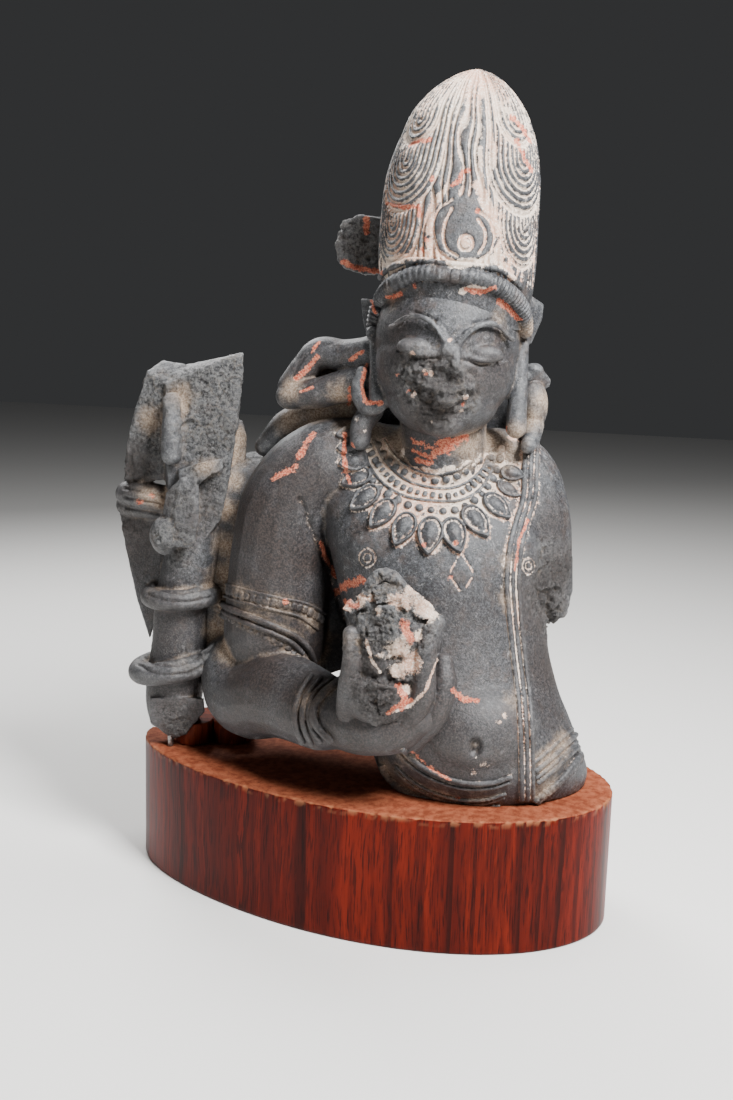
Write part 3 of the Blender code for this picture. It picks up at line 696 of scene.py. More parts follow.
def carve(thing, on, width, depth, paint, *lines, steps=8):
    """Cut grooves along lines of pixels."""
    cut(thing, [trace(line, on, steps) for line in lines], width, depth, paint)


# %% [markdown]
# The second tree breaks a surface up: tilted facets and rough noise where the stone is fractured, and a fine grain
# all over. The share of fracture is an attribute that is set first, from a few broken places.

# %% Weathering tree
weather_tree, given = tree("weather", [
    ("Facet", "Float", 2.6), ("Facet size", "Float", 13.0), ("Grain", "Float", 0.12), ("Grain size", "Float", 2.2),
])
where = node("GeometryNodeInputPosition")


def facets(share):
    """A slope for each Voronoi cell: how far a point lies from its cell's middle, along the cell's own direction."""
    wide = product(given["Facet size"], share)
    cell = node("ShaderNodeTexVoronoi", [("Vector", where), ("Scale", sums("DIVIDE", 1.0, wide))], feature="F1")
    away = vectors("SUBTRACT", where, cell.outputs["Position"])
    lean = vectors("SUBTRACT", cell.outputs["Color"], (0.5, 0.5, 0.5))
    return sums("DIVIDE", vectors("DOT_PRODUCT", away, lean).outputs["Value"], wide)


cracks = noise(where, 0.14, 7.0, 0.72)
fine = noise(where, sums("DIVIDE", 1.0, given["Grain size"]), 3.0, 0.6)
chips = sums("ADD", facets(1.0), product(facets(0.37), 0.25))
chips = sums("ADD", chips, product(sums("SUBTRACT", cracks, 0.5), 2.2))
chips = product(chips, given["Facet"], named("broken"))
small = product(sums("SUBTRACT", fine, 0.5), product(given["Grain"], 2.0))
ends(pushed(given["Geometry"], sums("ADD", chips, small)))

# %% [markdown]
# The third tree finds the hollows. It blurs the surface's own positions and sees on which side of the skin the
# blurred point falls: outside in a hollow, inside on an edge. Dust settles by the first, wear shows by the second.

# %% Hollow tree
hollow_tree, given = tree("find hollows", [("Reach", "Int", 22)])
where = node("GeometryNodeInputPosition")
mean = node("GeometryNodeBlurAttribute", [("Value", where), ("Iterations", given["Reach"])], data_type="FLOAT_VECTOR")
dip = vectors("DOT_PRODUCT", vectors("SUBTRACT", mean, where), node("GeometryNodeInputNormal"))
even = node("GeometryNodeBlurAttribute", [(0, dip.outputs["Value"]), ("Iterations", 5)], data_type="FLOAT")
ends(marked(given["Geometry"], "hollow", even))


def corners(thing):
    flat = np.empty(len(thing.data.vertices) * 3, np.float32)
    thing.data.vertices.foreach_get("co", flat)
    return flat.reshape(-1, 3).astype(float)


def write(thing, name, values):
    slot = thing.data.attributes.get(name) or thing.data.attributes.new(name, "FLOAT", "POINT")
    slot.data.foreach_set("value", np.asarray(values, np.float32))


def read(thing, name):
    slot = thing.data.attributes.get(name)
    found = np.zeros(len(thing.data.vertices), np.float32)
    if slot is not None:
        slot.data.foreach_get("value", found)
    return found.astype(float)


def raise_to(thing, name, values):
    """Lift an attribute to the given values where they are higher."""
    write(thing, name, np.maximum(read(thing, name), values))


def dab(thing, name, spots, fall=1.6):
    """Add soft round spots (px, py, radius in mm[, strength]) of an attribute where the sight lines land."""
    at = corners(thing)
    total = read(thing, name)
    for px, py, size, *rest in spots:
        hit = seen(px, py, whole_skin)
        if hit is None:
            continue
        near = np.flatnonzero((np.abs(at[:, 0] - hit.x) < size) & (np.abs(at[:, 2] - hit.z) < size))
        away = np.linalg.norm(at[near] - np.array(hit), axis=1) / size
        total[near] = np.maximum(total[near], np.clip(fall * (1 - away), 0, 1) * (rest[0] if rest else 1.0))
    write(thing, name, total)


def dent(thing, spots):
    """Knock dents (px, py, radius, depth in mm) into the stone, away from the camera."""
    at = corners(thing)
    for px, py, size, deep in spots:
        hit = seen(px, py, whole_skin)
        share = np.clip(1 - (np.linalg.norm(at - np.array(hit), axis=1) / size) ** 2, 0, 1) ** 1.5
        at[:, 1] += share * deep
    thing.data.vertices.foreach_set("co", at.astype(np.float32).ravel())
    thing.data.update()


print("trees:", [g.name for g in bpy.data.node_groups])

# %% [markdown]
# ## Where the stone is broken
# The nose and mouth, the bowl, the stump of the left arm, the top and side of the staff's block and its foot are
# fractured. Each is a few soft spots; the weathering tree then chips them.

# %% Break and carve
whole_skin = skin(torso, hand, head, staff, crown)
for thing in (torso, hand, head, staff, crown):
    write(thing, "broken", np.zeros(len(thing.data.vertices)))
    if thing is not crown:
        write(thing, "cut", np.zeros(len(thing.data.vertices)))
for thing, spots in (
    (head, [(438, 378, 19), (450, 392, 19), (422, 390, 18), (436, 410, 18), (408, 376, 13), (466, 400, 13),
            (418, 362, 12, 0.9), (350, 235, 20), (368, 262, 18, 0.8)]),
    (torso, [(550, 580, 26), (550, 612, 22), (545, 560, 16, 0.8), (566, 570, 18), (540, 596, 18)]),
    (hand, [(380, 590, 16), (410, 605, 16), (356, 606, 12), (388, 625, 16), (370, 645, 14), (402, 650, 14),
            (400, 675, 12, 0.8), (375, 700, 18, 0.8), (365, 680, 12, 0.7), (428, 630, 10, 0.6), (390, 715, 14, 0.6),
            (351, 650, 12, 0.5)]),
    (staff, [(195, 380, 30), (225, 380, 30), (160, 400, 26), (215, 430, 30), (225, 480, 22, 0.8), (150, 440, 26, 0.8),
             (200, 470, 14), (180, 500, 16, 0.8), (180, 540, 14, 0.8), (135, 470, 18), (180, 728, 14),
             (175, 715, 14, 0.7), (130, 520, 22, 0.5), (210, 510, 20, 0.6), (165, 535, 16), (180, 555, 14, 0.8),
             (150, 592, 14, 0.35), (200, 592, 14, 0.35), (150, 660, 14, 0.4), (195, 662, 16, 0.5)]),
):
    dab(thing, "broken", spots)
dent(head, [(441, 366, 9, 4.0), (424, 372, 7, 2.0), (424, 394, 8, 2.6), (452, 385, 7, 2.6), (462, 399, 7, 2.8),
            (440, 407, 8, 2.0), (410, 380, 6, 1.4), (470, 376, 5, 1.2)])
# The back of every lump is roughly dressed stone
for thing, start in ((torso, 22), (staff, 34), (head, 14)):
    depth = corners(thing)[:, 1]
    raise_to(thing, "broken", np.clip((depth - start) / 14, 0, 0.6))
write(crown, "broken", np.clip((corners(crown)[:, 1] - 8) / 16, 0, 0.6))

torso_skin, head_skin, staff_skin = skin(torso), skin(head), skin(staff)
# Neck folds, the line where the arm meets the chest, the navel, two small rings and the lozenge between them
carve(torso, torso_skin, 1.8, 0.9, 0.4, [(405, 448), (430, 462), (458, 463), (482, 450)],
      [(402, 458), (428, 472), (458, 473), (486, 460)])
carve(torso, torso_skin, 3.0, 1.6, 0.3, [(300, 500), (312, 530), (330, 575), (345, 620)])
carve(torso, torso_skin, 3.2, 3.4, 0.12, [(472, 744), (476, 742), (479, 747), (476, 753), (472, 751), (472, 744)])
for cx, cy, rx, ry in ((367, 558, 8.5, 9), (367, 558, 4, 4.5), (529, 566, 6, 8), (529, 566, 3, 4)):
    loop = [(cx + rx * cos(k * pi / 6), cy + ry * sin(k * pi / 6)) for k in range(13)]
    carve(torso, torso_skin, 1.0, 0.8, 0.9, loop, steps=3)
carve(torso, torso_skin, 1.0, 0.7, 1.0, [(461, 551), (450, 573)], [(462, 553), (473, 572)], [(450, 576), (460, 591)],
      [(472, 578), (466, 588)], steps=3)
# The two ropes round the staff and the rings at its left
carve(staff, staff_skin, 1.8, 1.3, 0.4, [(146, 584), (165, 591), (188, 592), (212, 586)],
      [(147, 594), (166, 601), (190, 602), (212, 597)], [(136, 655), (155, 664), (184, 663), (210, 650)],
      [(138, 664), (156, 674), (186, 674), (212, 662)], [(124, 488), (145, 493), (164, 496)],
      [(124, 497), (145, 502), (164, 505)], [(126, 508), (146, 512), (163, 515)], steps=4)
# Brows and lids
for side in (-1, 1):
    for heights, width, depth in ((((4, 6.5), (11, 15.5), (21, 18.6), (32, 11)), 1.3, 0.9),
                                  (((6, -4), (17, -6), (29, -2.5)), 1.4, 1.2)):
        line = []
        for k in range(25):
            t = k / 24 * (len(heights) - 1)
            j = min(int(t), len(heights) - 2)
            x = heights[j][0] + (heights[j + 1][0] - heights[j][0]) * (t - j)
            z = np.interp(x, [h[0] for h in heights], [h[1] for h in heights])
            start = HEAD @ Vector((side * x, -90, z))
            hit = head_skin.ray_cast(start, (HEAD.to_3x3() @ Vector((0, 1, 0))).normalized())[0]
            line.append(hit)
        cut(head, [line], width, depth, 0.25)
# Strands along the locks
carve(head, head_skin, 2.2, 0.9, 0.5, [(330, 343), (312, 349), (300, 362), (292, 376)],
      [(338, 372), (320, 378), (302, 388)])
# The lyre-shaped jewel on the crown
ring = [(466 + 7 * cos(radians(30 * k)), 243 + 7.5 * sin(radians(30 * k))) for k in range(13)]
carve(crown, dome_skin, 1.5, 1.2, 1.3, [(452, 199), (439, 208), (433, 222), (434, 240), (441, 254), (455, 262),
                                        (472, 262)],
      [(452, 208), (446, 220), (443, 235), (447, 249), (457, 256)],
      [(478, 211), (490, 220), (495, 236), (491, 252), (478, 261)], [(478, 219), (485, 230), (485, 243), (479, 253)],
      ring)

# %% [markdown]
# ## Ornaments on a string
# Beads, petals and cords follow lines over the stone, so two more trees make them. The first sets pieces out
# along a path: each piece's Z points out of the stone and its X along the path. The second sweeps a round cord
# and ribs it; with a twist the ribs become the strands of a rope. Each path carries two attributes, the way out
# of the stone and a size.

# %% String tree
string_tree, given = tree("string of pieces", [
    ("Piece", "Object", None), ("Count", "Int", 20), ("As laid", "Bool", False), ("Vary", "Float", 0.08),
    ("Seed", "Int", 3), ("Material", "Material", None),
])
path = node("GeometryNodeMeshToCurve", [(0, given["Geometry"])])
even = node("GeometryNodeResampleCurve", [(0, path), ("Count", given["Count"])])
spots = node("GeometryNodeSwitch", [(0, given["As laid"]), (1, even), (2, path)], input_type="GEOMETRY")
facing = node("FunctionNodeAlignRotationToVector", [("Vector", named("out", "FLOAT_VECTOR"))], axis="Z")
turned = node("FunctionNodeAlignRotationToVector", [
    ("Rotation", facing), ("Vector", node("GeometryNodeInputTangent")),
], axis="X", pivot_axis="Z")
vary = node("FunctionNodeRandomValue", [
    (2, sums("SUBTRACT", 1.0, given["Vary"])), (3, sums("ADD", 1.0, given["Vary"])), ("Seed", given["Seed"]),
], data_type="FLOAT")
piece = node("GeometryNodeObjectInfo", [("Object", given["Piece"])])
placed = node("GeometryNodeInstanceOnPoints", [
    (0, spots), ("Instance", piece.outputs["Geometry"]), ("Rotation", turned),
    ("Scale", product(named("size"), vary.outputs[1])),
])
real = node("GeometryNodeRealizeInstances", [(0, placed)])
ends(node("GeometryNodeSetMaterial", [(0, real), ("Material", given["Material"])]))

# %% Cord tree
cord_tree, given = tree("ribbed cord", [
    ("Radius", "Float", 2.0), ("Pitch", "Float", 2.5), ("Rib", "Float", 0.3), ("Strands", "Float", 0.0),
    ("Material", "Material", None),
])
path = node("GeometryNodeMeshToCurve", [(0, given["Geometry"])])
even = node("GeometryNodeResampleCurve", [(0, path), (3, 0.4)], mode="LENGTH")
far = marked(even, "along", node("GeometryNodeSplineParameter").outputs["Length"])
ring = node("GeometryNodeCurvePrimitiveCircle", [("Resolution", 18), ("Radius", given["Radius"])])
ring = marked(ring, "round", node("GeometryNodeSplineParameter").outputs["Factor"])
swept = node("GeometryNodeCurveToMesh", [(0, far), (1, ring), ("Scale", named("size")), ("Fill Caps", True)])
turns = sums("ADD", sums("DIVIDE", named("along"), given["Pitch"]), product(named("round"), given["Strands"]))
wave = product(sums("COSINE", product(turns, 2 * pi)), sums("POWER", named("size"), 7.0), given["Rib"])
ends(node("GeometryNodeSetMaterial", [(0, pushed(swept, wave)), ("Material", given["Material"])]))

# %% Nearness tree
near_tree, given = tree("how near", [("Other", "Object", None), ("Reach", "Float", 2.0)])
other = node("GeometryNodeObjectInfo", [("Object", given["Other"])])
gap = node("GeometryNodeProximity", [(0, other.outputs["Geometry"])], target_element="FACES")
close = span(gap.outputs["Distance"], 0.0, given["Reach"], 1.0, 0.0, "LINEAR")
ends(marked(given["Geometry"], "near", sums("MAXIMUM", named("near"), close)))


# %% Paths, shapes and strings
def trail(points, on, size=(1.0,), steps=8, lift=0.0):
    """A path over the stone that carries the way out and a size, both read by the string and cord trees."""
    spots = [np.array(p, float) for p in points] if steps == 1 else eased(points, steps)
    hits = [on.ray_cast(EYE_HERE, sight(px, py)) for px, py in spots]
    hits = [(hit, out) for hit, out, _, _ in hits if hit is not None]
    made = as_lines("trail", [[hit + out * lift for hit, out in hits]])
    outs = made.data.attributes.new("out", "FLOAT_VECTOR", "POINT")
    outs.data.foreach_set("vector", np.array([out for _, out in hits], np.float32).ravel())
    write(made, "size", np.interp(np.linspace(0, 1, len(hits)), np.linspace(0, 1, len(size)), size))
    return made


def length_of(made):
    at = corners(made)
    return float(np.linalg.norm(np.diff(at, axis=0), axis=1).sum())


def string(path, piece, pitch=None, seed=3, vary=0.08):
    count = 2 if pitch is None else max(2, round(length_of(path) / pitch) + 1)
    return apply_tree(path, string_tree, Piece=piece, Count=count, As_laid=pitch is None, Vary=vary, Seed=seed)


def cord(path, radius, pitch=2.5, rib=0.0, strands=0.0):
    return apply_tree(path, cord_tree, Radius=radius, Pitch=pitch, Rib=rib, Strands=strands)


def laid(radius, lift, *line):
    """A plain cord along a line of pixels over the torso."""
    return cord(trail(line, torso_skin, lift=lift), radius)


def beaded(piece, size, pitch, lift, *line, vary=0.08):
    """Beads along a line of pixels over the torso."""
    return string(trail(line, torso_skin, (size,), lift=lift), piece, pitch, vary=vary)


def radial(name, outline, levels):
    """A small raised shape: its outline shrunk step by step, each step at its own height."""
    heap = bmesh.new()
    rings = [[heap.verts.new((x * share, y * share, z)) for x, y in outline] for share, z in levels[:-1]]
    top = heap.verts.new((0, 0, levels[-1][1]))
    count = len(outline)
    for low, high in zip(rings, rings[1:]):
        for k in range(count):
            heap.faces.new((low[k], low[(k + 1) % count], high[(k + 1) % count], high[k]))
    for k in range(count):
        heap.faces.new((rings[-1][k], rings[-1][(k + 1) % count], top))
    heap.faces.new(reversed(rings[0]))
    return keep(name, as_mesh(name, heap))


turns = [2 * pi * k / 16 for k in range(16)]
boss = radial("boss", [(cos(a), sin(a)) for a in turns], [(1, -1), (1, 0.0), (0.86, 0.4), (0.5, 0.68), (0, 0.75)])
SQUARE = [1 + 0.25 * sin(2 * a) ** 2 for a in turns]
box_bead = radial("box bead", [(0.8 * cos(a) * out, 1.05 * sin(a) * out) for a, out in zip(turns, SQUARE)],
                  [(1, -1), (1, 0.5), (0.8, 0.85), (0.4, 0.95), (0, 0.95)])
leaf = []
for k in range(28):
    a = 2 * pi * k / 28
    y = cos(a)
    leaf.append((sin(a) * (0.95 + 0.1 * y) * (1 - 0.35 * max(0.0, -y) ** 3), 1.38 * y - 0.22 * max(0.0, -y) ** 4))
petal = radial("petal", leaf, [(1.0, -0.6), (1.02, 0.1), (0.98, 0.36), (0.9, 0.42), (0.8, 0.26), (0.66, 0.28),
                               (0.42, 0.44), (0.2, 0.55), (0, 0.56)])
print("shapes:", boss.name, box_bead.name, petal.name)


def compose(name, parts, voxel, smooth=1):
    """Melt finished ornaments into one skin of their own."""
    heap = bmesh.new()
    for part in parts:
        heap.from_mesh(part.data)
        bpy.data.objects.remove(part)
    thing = melted(name, heap, voxel, smooth)
    write(thing, "broken", np.zeros(len(thing.data.vertices)))
    return thing


# %% [markdown]
# ## The necklace
# From the neck out: a row of round beads, a row of square beads between two thin cords, a row of small beads,
# and a fringe of leaf-shaped petals with a raised rim and a swelling in the middle.

# %% Necklace
FRINGE = [(350, 434), (352, 447), (354, 461), (358, 479), (366, 498), (383, 513), (404, 528), (430, 534), (454, 534),
          (475, 521), (496, 506), (508, 489), (512, 473)]
PETAL_SIZES = (5.2, 5.4, 5.6, 6.2, 6.6, 6.9, 7.0, 7.2, 7.0, 7.2, 6.6, 5.6, 4.8)
parts = [
    string(trail(FRINGE, torso_skin, PETAL_SIZES, steps=1), petal, vary=0.03),
    beaded(boss, 2.5, 6.6, 0.1, (357, 432), (360, 450), (366, 468), (375, 484), (386, 493), (405, 504), (431, 510),
           (453, 511), (472, 502), (484, 492), (493, 478), (499, 462), (502, 448), vary=0.2),
    beaded(box_bead, 1.75, 4.3, 0.1, (366, 440), (374, 458), (388, 476), (406, 489), (430, 495), (452, 496),
           (470, 488), (484, 474), (492, 458), vary=0.2),
    beaded(boss, 2.1, 6.0, 0.1, (378, 445), (386, 457), (397, 468), (413, 476), (434, 481), (452, 478), (467, 471),
           (480, 460), vary=0.2),
    laid(0.9, 0.5, (361, 440), (370, 466), (384, 484), (404, 496), (430, 501), (458, 501), (478, 491), (490, 474),
         (496, 456)),
    laid(0.9, 0.5, (374, 440), (382, 457), (394, 471), (410, 482), (432, 488), (453, 488), (470, 480), (482, 468),
         (488, 455)),
    laid(0.8, 0.5, (384, 440), (395, 456), (412, 468), (434, 474), (456, 470), (472, 461)),
]
necklace = compose("necklace", parts, 0.45, 3)

# %% [markdown]
# ## Thread, girdle, armlet and bracelet
# The sacred thread is three round cords side by side. The girdle is bands round the hips and a thicker rope along
# the break below, with a row of square beads at the side. The armlet is a row of square beads between thin cords,
# over two thicker cords and a row of lobes. The bracelet is four rings.

# %% Sacred thread
THREAD = [(531, 440), (530, 470), (529, 496), (521, 522), (515, 548), (512, 573), (512.5, 599), (517.5, 650),
          (523.5, 701), (526, 752), (527, 800)]
parts = []
for side in (-1, 0, 1):
    line = [(px + side * 5.6, py) for px, py in THREAD]
    parts.append(cord(trail(line, torso_skin, (1.0, 1.0, 0.85), lift=0.4), 1.75))
thread = compose("sacred_thread", parts, 0.5)

# %% Girdle
WAIST = [(402, 748), (410, 756), (421, 765), (440, 775), (465, 782), (491, 782), (512, 776)]
SIDE_BAND = [(534, 771), (548, 760), (562, 747), (577, 733)]
parts = []
for line, lean, rows in (
    (WAIST, -0.35, ((0, 1.5, 0.5), (6, 1.1, 0.4), (17, 1.2, 0.5), (21, 1.0, 0.4))),
    (SIDE_BAND, 0.2, ((-8, 1.2, 0.4), (0, 1.6, 0.6), (7, 1.2, 0.4), (12, 1.5, 0.6), (26, 1.0, 0.4))),
):
    for drop, radius, lift in rows:
        parts.append(laid(radius, lift, *((px + drop * lean, py + drop) for px, py in line)))
parts.append(beaded(box_bead, 2.3, 3.5, 0.7, (537, 799), (548, 790), (560, 779), (571, 767), (579, 756)))
hem = trail([(383, 764), (388, 774), (398, 785), (419, 796), (443, 803), (472, 806), (500, 806)], torso_skin,
            (1.0, 1.0, 1.0, 0.9, 0.6), lift=0.6)
parts.append(cord(hem, 2.6, 5.0, 0.25, 1))
girdle = compose("girdle", parts, 0.55)

# %% Armlet and bracelet
armlet = compose("armlet", [
    laid(1.0, 0.2, (226, 584), (250, 591), (280, 598), (305, 603), (326, 614)),
    beaded(box_bead, 2.3, 4.0, -0.8, (228, 590), (250, 597), (280, 604), (303, 609), (322, 620)),
    laid(1.0, 0.2, (224, 596), (250, 604), (278, 611), (300, 617), (318, 630)),
    laid(1.9, 0.5, (216, 601), (235, 610), (255, 618), (275, 626), (295, 636), (308, 648), (314, 662)),
    laid(1.6, 0.4, (216, 607), (235, 617), (255, 626), (275, 634), (292, 643), (303, 654)),
    beaded(boss, 2.5, 4.8, -1.1, (220, 614), (240, 625), (262, 636), (284, 646), (298, 656)),
], 0.5, 3)
bracelet = compose("bracelet", [
    laid(2.2, 0.6, (311, 676), (301, 692), (296, 710), (297, 726), (303, 742)),
    laid(1.8, 0.6, (321, 678), (308, 694), (303, 712), (305, 728), (312, 744)),
    laid(2.6, 0.6, (342, 680), (324, 694), (315, 708), (317, 724), (333, 741)),
    laid(1.3, 0.6, (334, 678), (316, 692), (309, 708), (311, 726), (322, 742)),
], 0.5)

# %% [markdown]
# ## The hair roll and the band over it
# A thick roll of hair frames the forehead, ribbed across like a rope. A thin cord lies over it, under the crown's
# edge.

# %% Hair roll
brow_skin = skin(head, crown)
roll = trail([(374, 334), (376, 320), (381, 304), (389, 290), (402, 280), (420, 273), (442, 274), (464, 276),
              (484, 280), (502, 289), (516, 302), (523, 318), (525, 334)], brow_skin,
             (0.85, 1.0, 1.0, 0.88, 0.86, 0.92, 1.0, 1.0, 0.85), lift=0.4)
band = trail([(377, 286), (384, 273), (398, 264), (418, 260), (442, 263), (468, 266), (494, 268), (510, 276),
              (522, 288)], brow_skin, lift=0.4)
hair = compose("hair_roll", [cord(roll, 4.8, 2.35, 0.7, 0.5), cord(band, 1.7)], 0.45)

# %% [markdown]
# ## Weather, hollows and the traces of paint
# Every lump now gets its fractures and grain. Then the hollows are found and the places where one lump meets
# another, because dust and old paint stay there. Cream and red pigment and dust are dabbed on as soft spots where
# the real stone has them, and a stroke is a row of spots. A brown patina is dabbed on the same way, and it is also
# painted shade: it darkens the left of the face, the neck under the chin, the arm, the forearm, the staff, the
# belly and the hollows under the hand, where they lie in shade. The material breaks them up with noise.

# %% Weather and measure
for thing, grain, facet, wide in (
    (torso, 0.13, 4.0, 11.0), (hand, 0.4, 3.4, 6.0), (head, 0.12, 3.2, 5.0), (staff, 0.3, 2.6, 12.0),
    (crown, 0.12, 2.6, 13.0), *((thing, 0.3, 0.0, 9.0) for thing in (necklace, girdle, armlet)),
    (thread, 0.2, 0.0, 9.0), (bracelet, 0.25, 0.0, 9.0), (hair, 0.2, 0.0, 9.0),
):
    apply_tree(thing, weather_tree, Grain=grain, Facet=facet, Facet_size=wide)
    apply_tree(thing, hollow_tree)
ORNAMENTS = (necklace, thread, girdle, armlet, bracelet, hair)
for base in (torso, hand, head, crown, staff):
    for other in ORNAMENTS:
        apply_tree(base, near_tree, Other=other, Reach=2.6)
for thing in ORNAMENTS:
    for other in (torso, head, crown):
        apply_tree(thing, near_tree, Other=other, Reach=1.6)
whole_skin = skin(torso, hand, head, staff, crown, *ORNAMENTS)

# %% Cream and red pigment
def patches(size, share, *pixels):
    """Separate spots of one size, in millimetres, and one strength."""
    return [(px, py, size, share) for px, py in pixels]


def stroke(size, share, *pixels):
    """Spots of one size, in millimetres, along a broken line of pixels."""
    row = []
    for (ax, ay), (bx, by) in zip(pixels, pixels[1:]):
        count = ceil(hypot(bx - ax, by - ay) / (0.7 * size))
        row += [(ax + (bx - ax) * k / count, ay + (by - ay) * k / count, size, share) for k in range(count)]
    return row + [(*pixels[-1], size, share)]


CREAM = [
    *stroke(4.5, 1.0, (478, 184), (484, 200), (491, 216), (497, 232)),
    *stroke(3, 0.95, (448, 186), (437, 200), (431, 215), (429, 232)),
    *stroke(4.2, 1.0, (380, 266), (400, 259), (420, 255), (436, 254), (455, 263), (480, 263), (496, 258)),
    *stroke(4, 0.9, (497, 250), (502, 265), (514, 276)), *stroke(3, 0.95, (490, 135), (493, 150), (492, 166)),
    *stroke(2.2, 0.9, (480, 148), (481, 176)), *stroke(2.6, 0.95, (462, 291), (474, 286), (484, 289)),
    *stroke(2.4, 0.8, (420, 468), (436, 472), (452, 468)),
    *stroke(1.6, 0.75, (392, 712), (410, 706), (426, 690), (437, 660)),
    *stroke(1.6, 0.8, (366, 640), (372, 660), (380, 672)),
    *patches(5, 0.8, (502, 448), (512, 438), (392, 600), (418, 636), (405, 690)), (462, 92, 12, 0.6),
    (487, 92, 11, 0.6), (400, 650, 10), (440, 105, 10, 0.6), (505, 110, 10, 0.6), (422, 606, 9), (412, 662, 9),
    (405, 600, 8), (412, 592, 7), (430, 614, 7), (398, 670, 7), (348, 606, 6), (360, 601, 6), (405, 640, 6, 0.9),
    (430, 243, 5), (380, 655, 5, 0.6), (484, 764, 5, 0.45), (465, 243, 4.2), (372, 598, 4, 0.9), (403, 452, 4, 0.8),
    (378, 612, 4, 0.7), (474, 772, 4, 0.4), (413, 394, 2.6, 0.9), (466, 397, 2.6, 0.9), (431, 373, 2.4, 0.95),
    (504, 715, 2.4, 0.9), (413, 353, 2.2, 0.9), (461, 410, 2.2, 0.9), (450, 340, 2.2, 0.8), (357, 420, 2.2, 0.6),
    (499, 722, 2, 0.8), (462, 462, 2, 0.7), (365, 431, 2, 0.6), (424, 371, 1.8, 0.8), (432, 422, 1.8, 0.8),
    (476, 757, 1.4, 0.7),
]
RED = [
    *stroke(2.6, 0.95, (411, 145), (418, 141), (431, 140)), *stroke(2.2, 0.9, (386, 203), (400, 206)),
    *stroke(2.2, 0.9, (402, 208), (418, 206), (420, 215)), *stroke(3, 0.8, (512, 118), (522, 128), (530, 141)),
    *stroke(3, 0.7, (517, 142), (524, 156), (531, 170)),
    *stroke(2, 0.95, (453, 185), (460, 180), (463, 172), (470, 170)), *stroke(2.8, 1.0, (366, 219), (367, 232)),
    *stroke(2.8, 1.0, (343, 262), (356, 268), (371, 271), (381, 272)), *stroke(2.2, 0.95, (386, 298), (401, 294)),
    *stroke(2.2, 0.9, (466, 289), (480, 292), (494, 288)), *stroke(2.4, 0.95, (499, 301), (508, 308), (519, 319)),
    *stroke(1.8, 0.9, (371, 299), (375, 313)), *stroke(2.2, 0.9, (366, 366), (362, 385), (366, 402), (380, 403)),
    *stroke(2.0, 0.9, (350, 360), (362, 352)), *stroke(1.8, 0.9, (350, 388), (349, 404)),
    *stroke(2.4, 0.95, (296, 378), (307, 369), (317, 357)), *stroke(1.8, 0.9, (312, 352), (319, 342)),
    *stroke(1.6, 0.9, (300, 392), (312, 387)), *stroke(3, 0.9, (299, 457), (306, 444), (313, 434)),
    *stroke(2.8, 0.9, (273, 479), (285, 472), (294, 467)),
    *stroke(2, 0.95, (345, 434), (344, 455), (346, 472), (350, 482)),
    *stroke(3.6, 1.0, (440, 443), (455, 441), (466, 438)), *stroke(3, 1.0, (434, 453), (450, 449)),
    *stroke(2, 0.95, (411, 440), (430, 447)), *stroke(2, 0.95, (413, 451), (432, 458)),
    *stroke(2, 0.9, (416, 460), (431, 463)), *stroke(3.6, 1.0, (337, 592), (346, 585), (363, 580)),
    *stroke(3.2, 0.95, (344, 601), (357, 606)), *stroke(2.8, 0.85, (321, 543), (327, 560), (336, 576)),
    *stroke(4, 0.95, (404, 624), (411, 640)), *stroke(2.6, 0.95, (398, 686), (405, 697), (402, 708)),
    *stroke(2, 0.9, (388, 713), (398, 706), (412, 700)), *stroke(2.6, 0.95, (453, 690), (462, 699), (477, 701)),
    *stroke(1.4, 0.9, (412, 752), (430, 768), (450, 780)), *stroke(1.5, 0.8, (528, 520), (519, 540), (515, 570)),
    (140, 502, 4, 0.7), (427, 240, 3, 0.8), (285, 602, 3, 0.8), (352, 445, 3, 0.8), (506, 428, 3, 0.7),
    (152, 496, 3, 0.7), (477, 211, 2.8, 0.9), (458, 797, 2.6, 0.9), (432, 179, 2.4, 0.9), (414, 286, 2.4, 0.9),
    (423, 250, 2.4, 0.8), (424, 545, 2.2, 0.9), (456, 543, 2.2, 0.9), (450, 577, 2.2, 0.9), (409, 391, 2.0, 0.9),
    (397, 375, 1.8, 0.9), (463, 404, 1.8, 0.8), (426, 374, 1.6, 0.8),
]
DUST = [
    *patches(12, 1, (262, 430), (290, 418), (375, 430), (395, 445), (470, 445), (505, 450)),
    *patches(9, 1, (235, 455), (224, 545), (240, 440), (150, 420), (150, 495), (180, 395), (515, 435), (350, 425),
             (545, 400), (530, 420), (330, 370), (340, 395)),
    *patches(9, 0.4, (250, 615), (285, 630), (180, 668), (185, 590)),
    *patches(8, 1, (232, 480), (228, 510), (225, 600), (215, 630), (225, 650), (205, 465), (160, 500), (300, 350),
             (290, 390), (362, 330), (532, 330)), (320, 410, 14), (490, 440, 14), (385, 770, 12, 0.7),
    (410, 790, 12, 0.7), (440, 800, 12, 0.7), (480, 803, 12, 0.6), (222, 575, 10), (345, 405, 10),
    (552, 760, 10, 0.7), (565, 745, 10, 0.7), (545, 790, 10, 0.7), (330, 640, 10, 0.4), (400, 757, 9, 0.6),
    (310, 620, 9, 0.5), (330, 690, 9, 0.5), (305, 700, 9, 0.5), (275, 606, 9, 0.45), (395, 300, 8, 0.6),
    (500, 320, 8, 0.6), (240, 590, 8, 0.5), (345, 640, 8, 0.5), (318, 662, 8, 0.4), (150, 590, 8, 0.4),
    (145, 655, 8, 0.4), (505, 600, 7, 0.6), (508, 560, 7, 0.6), (510, 700, 6, 0.6),
]
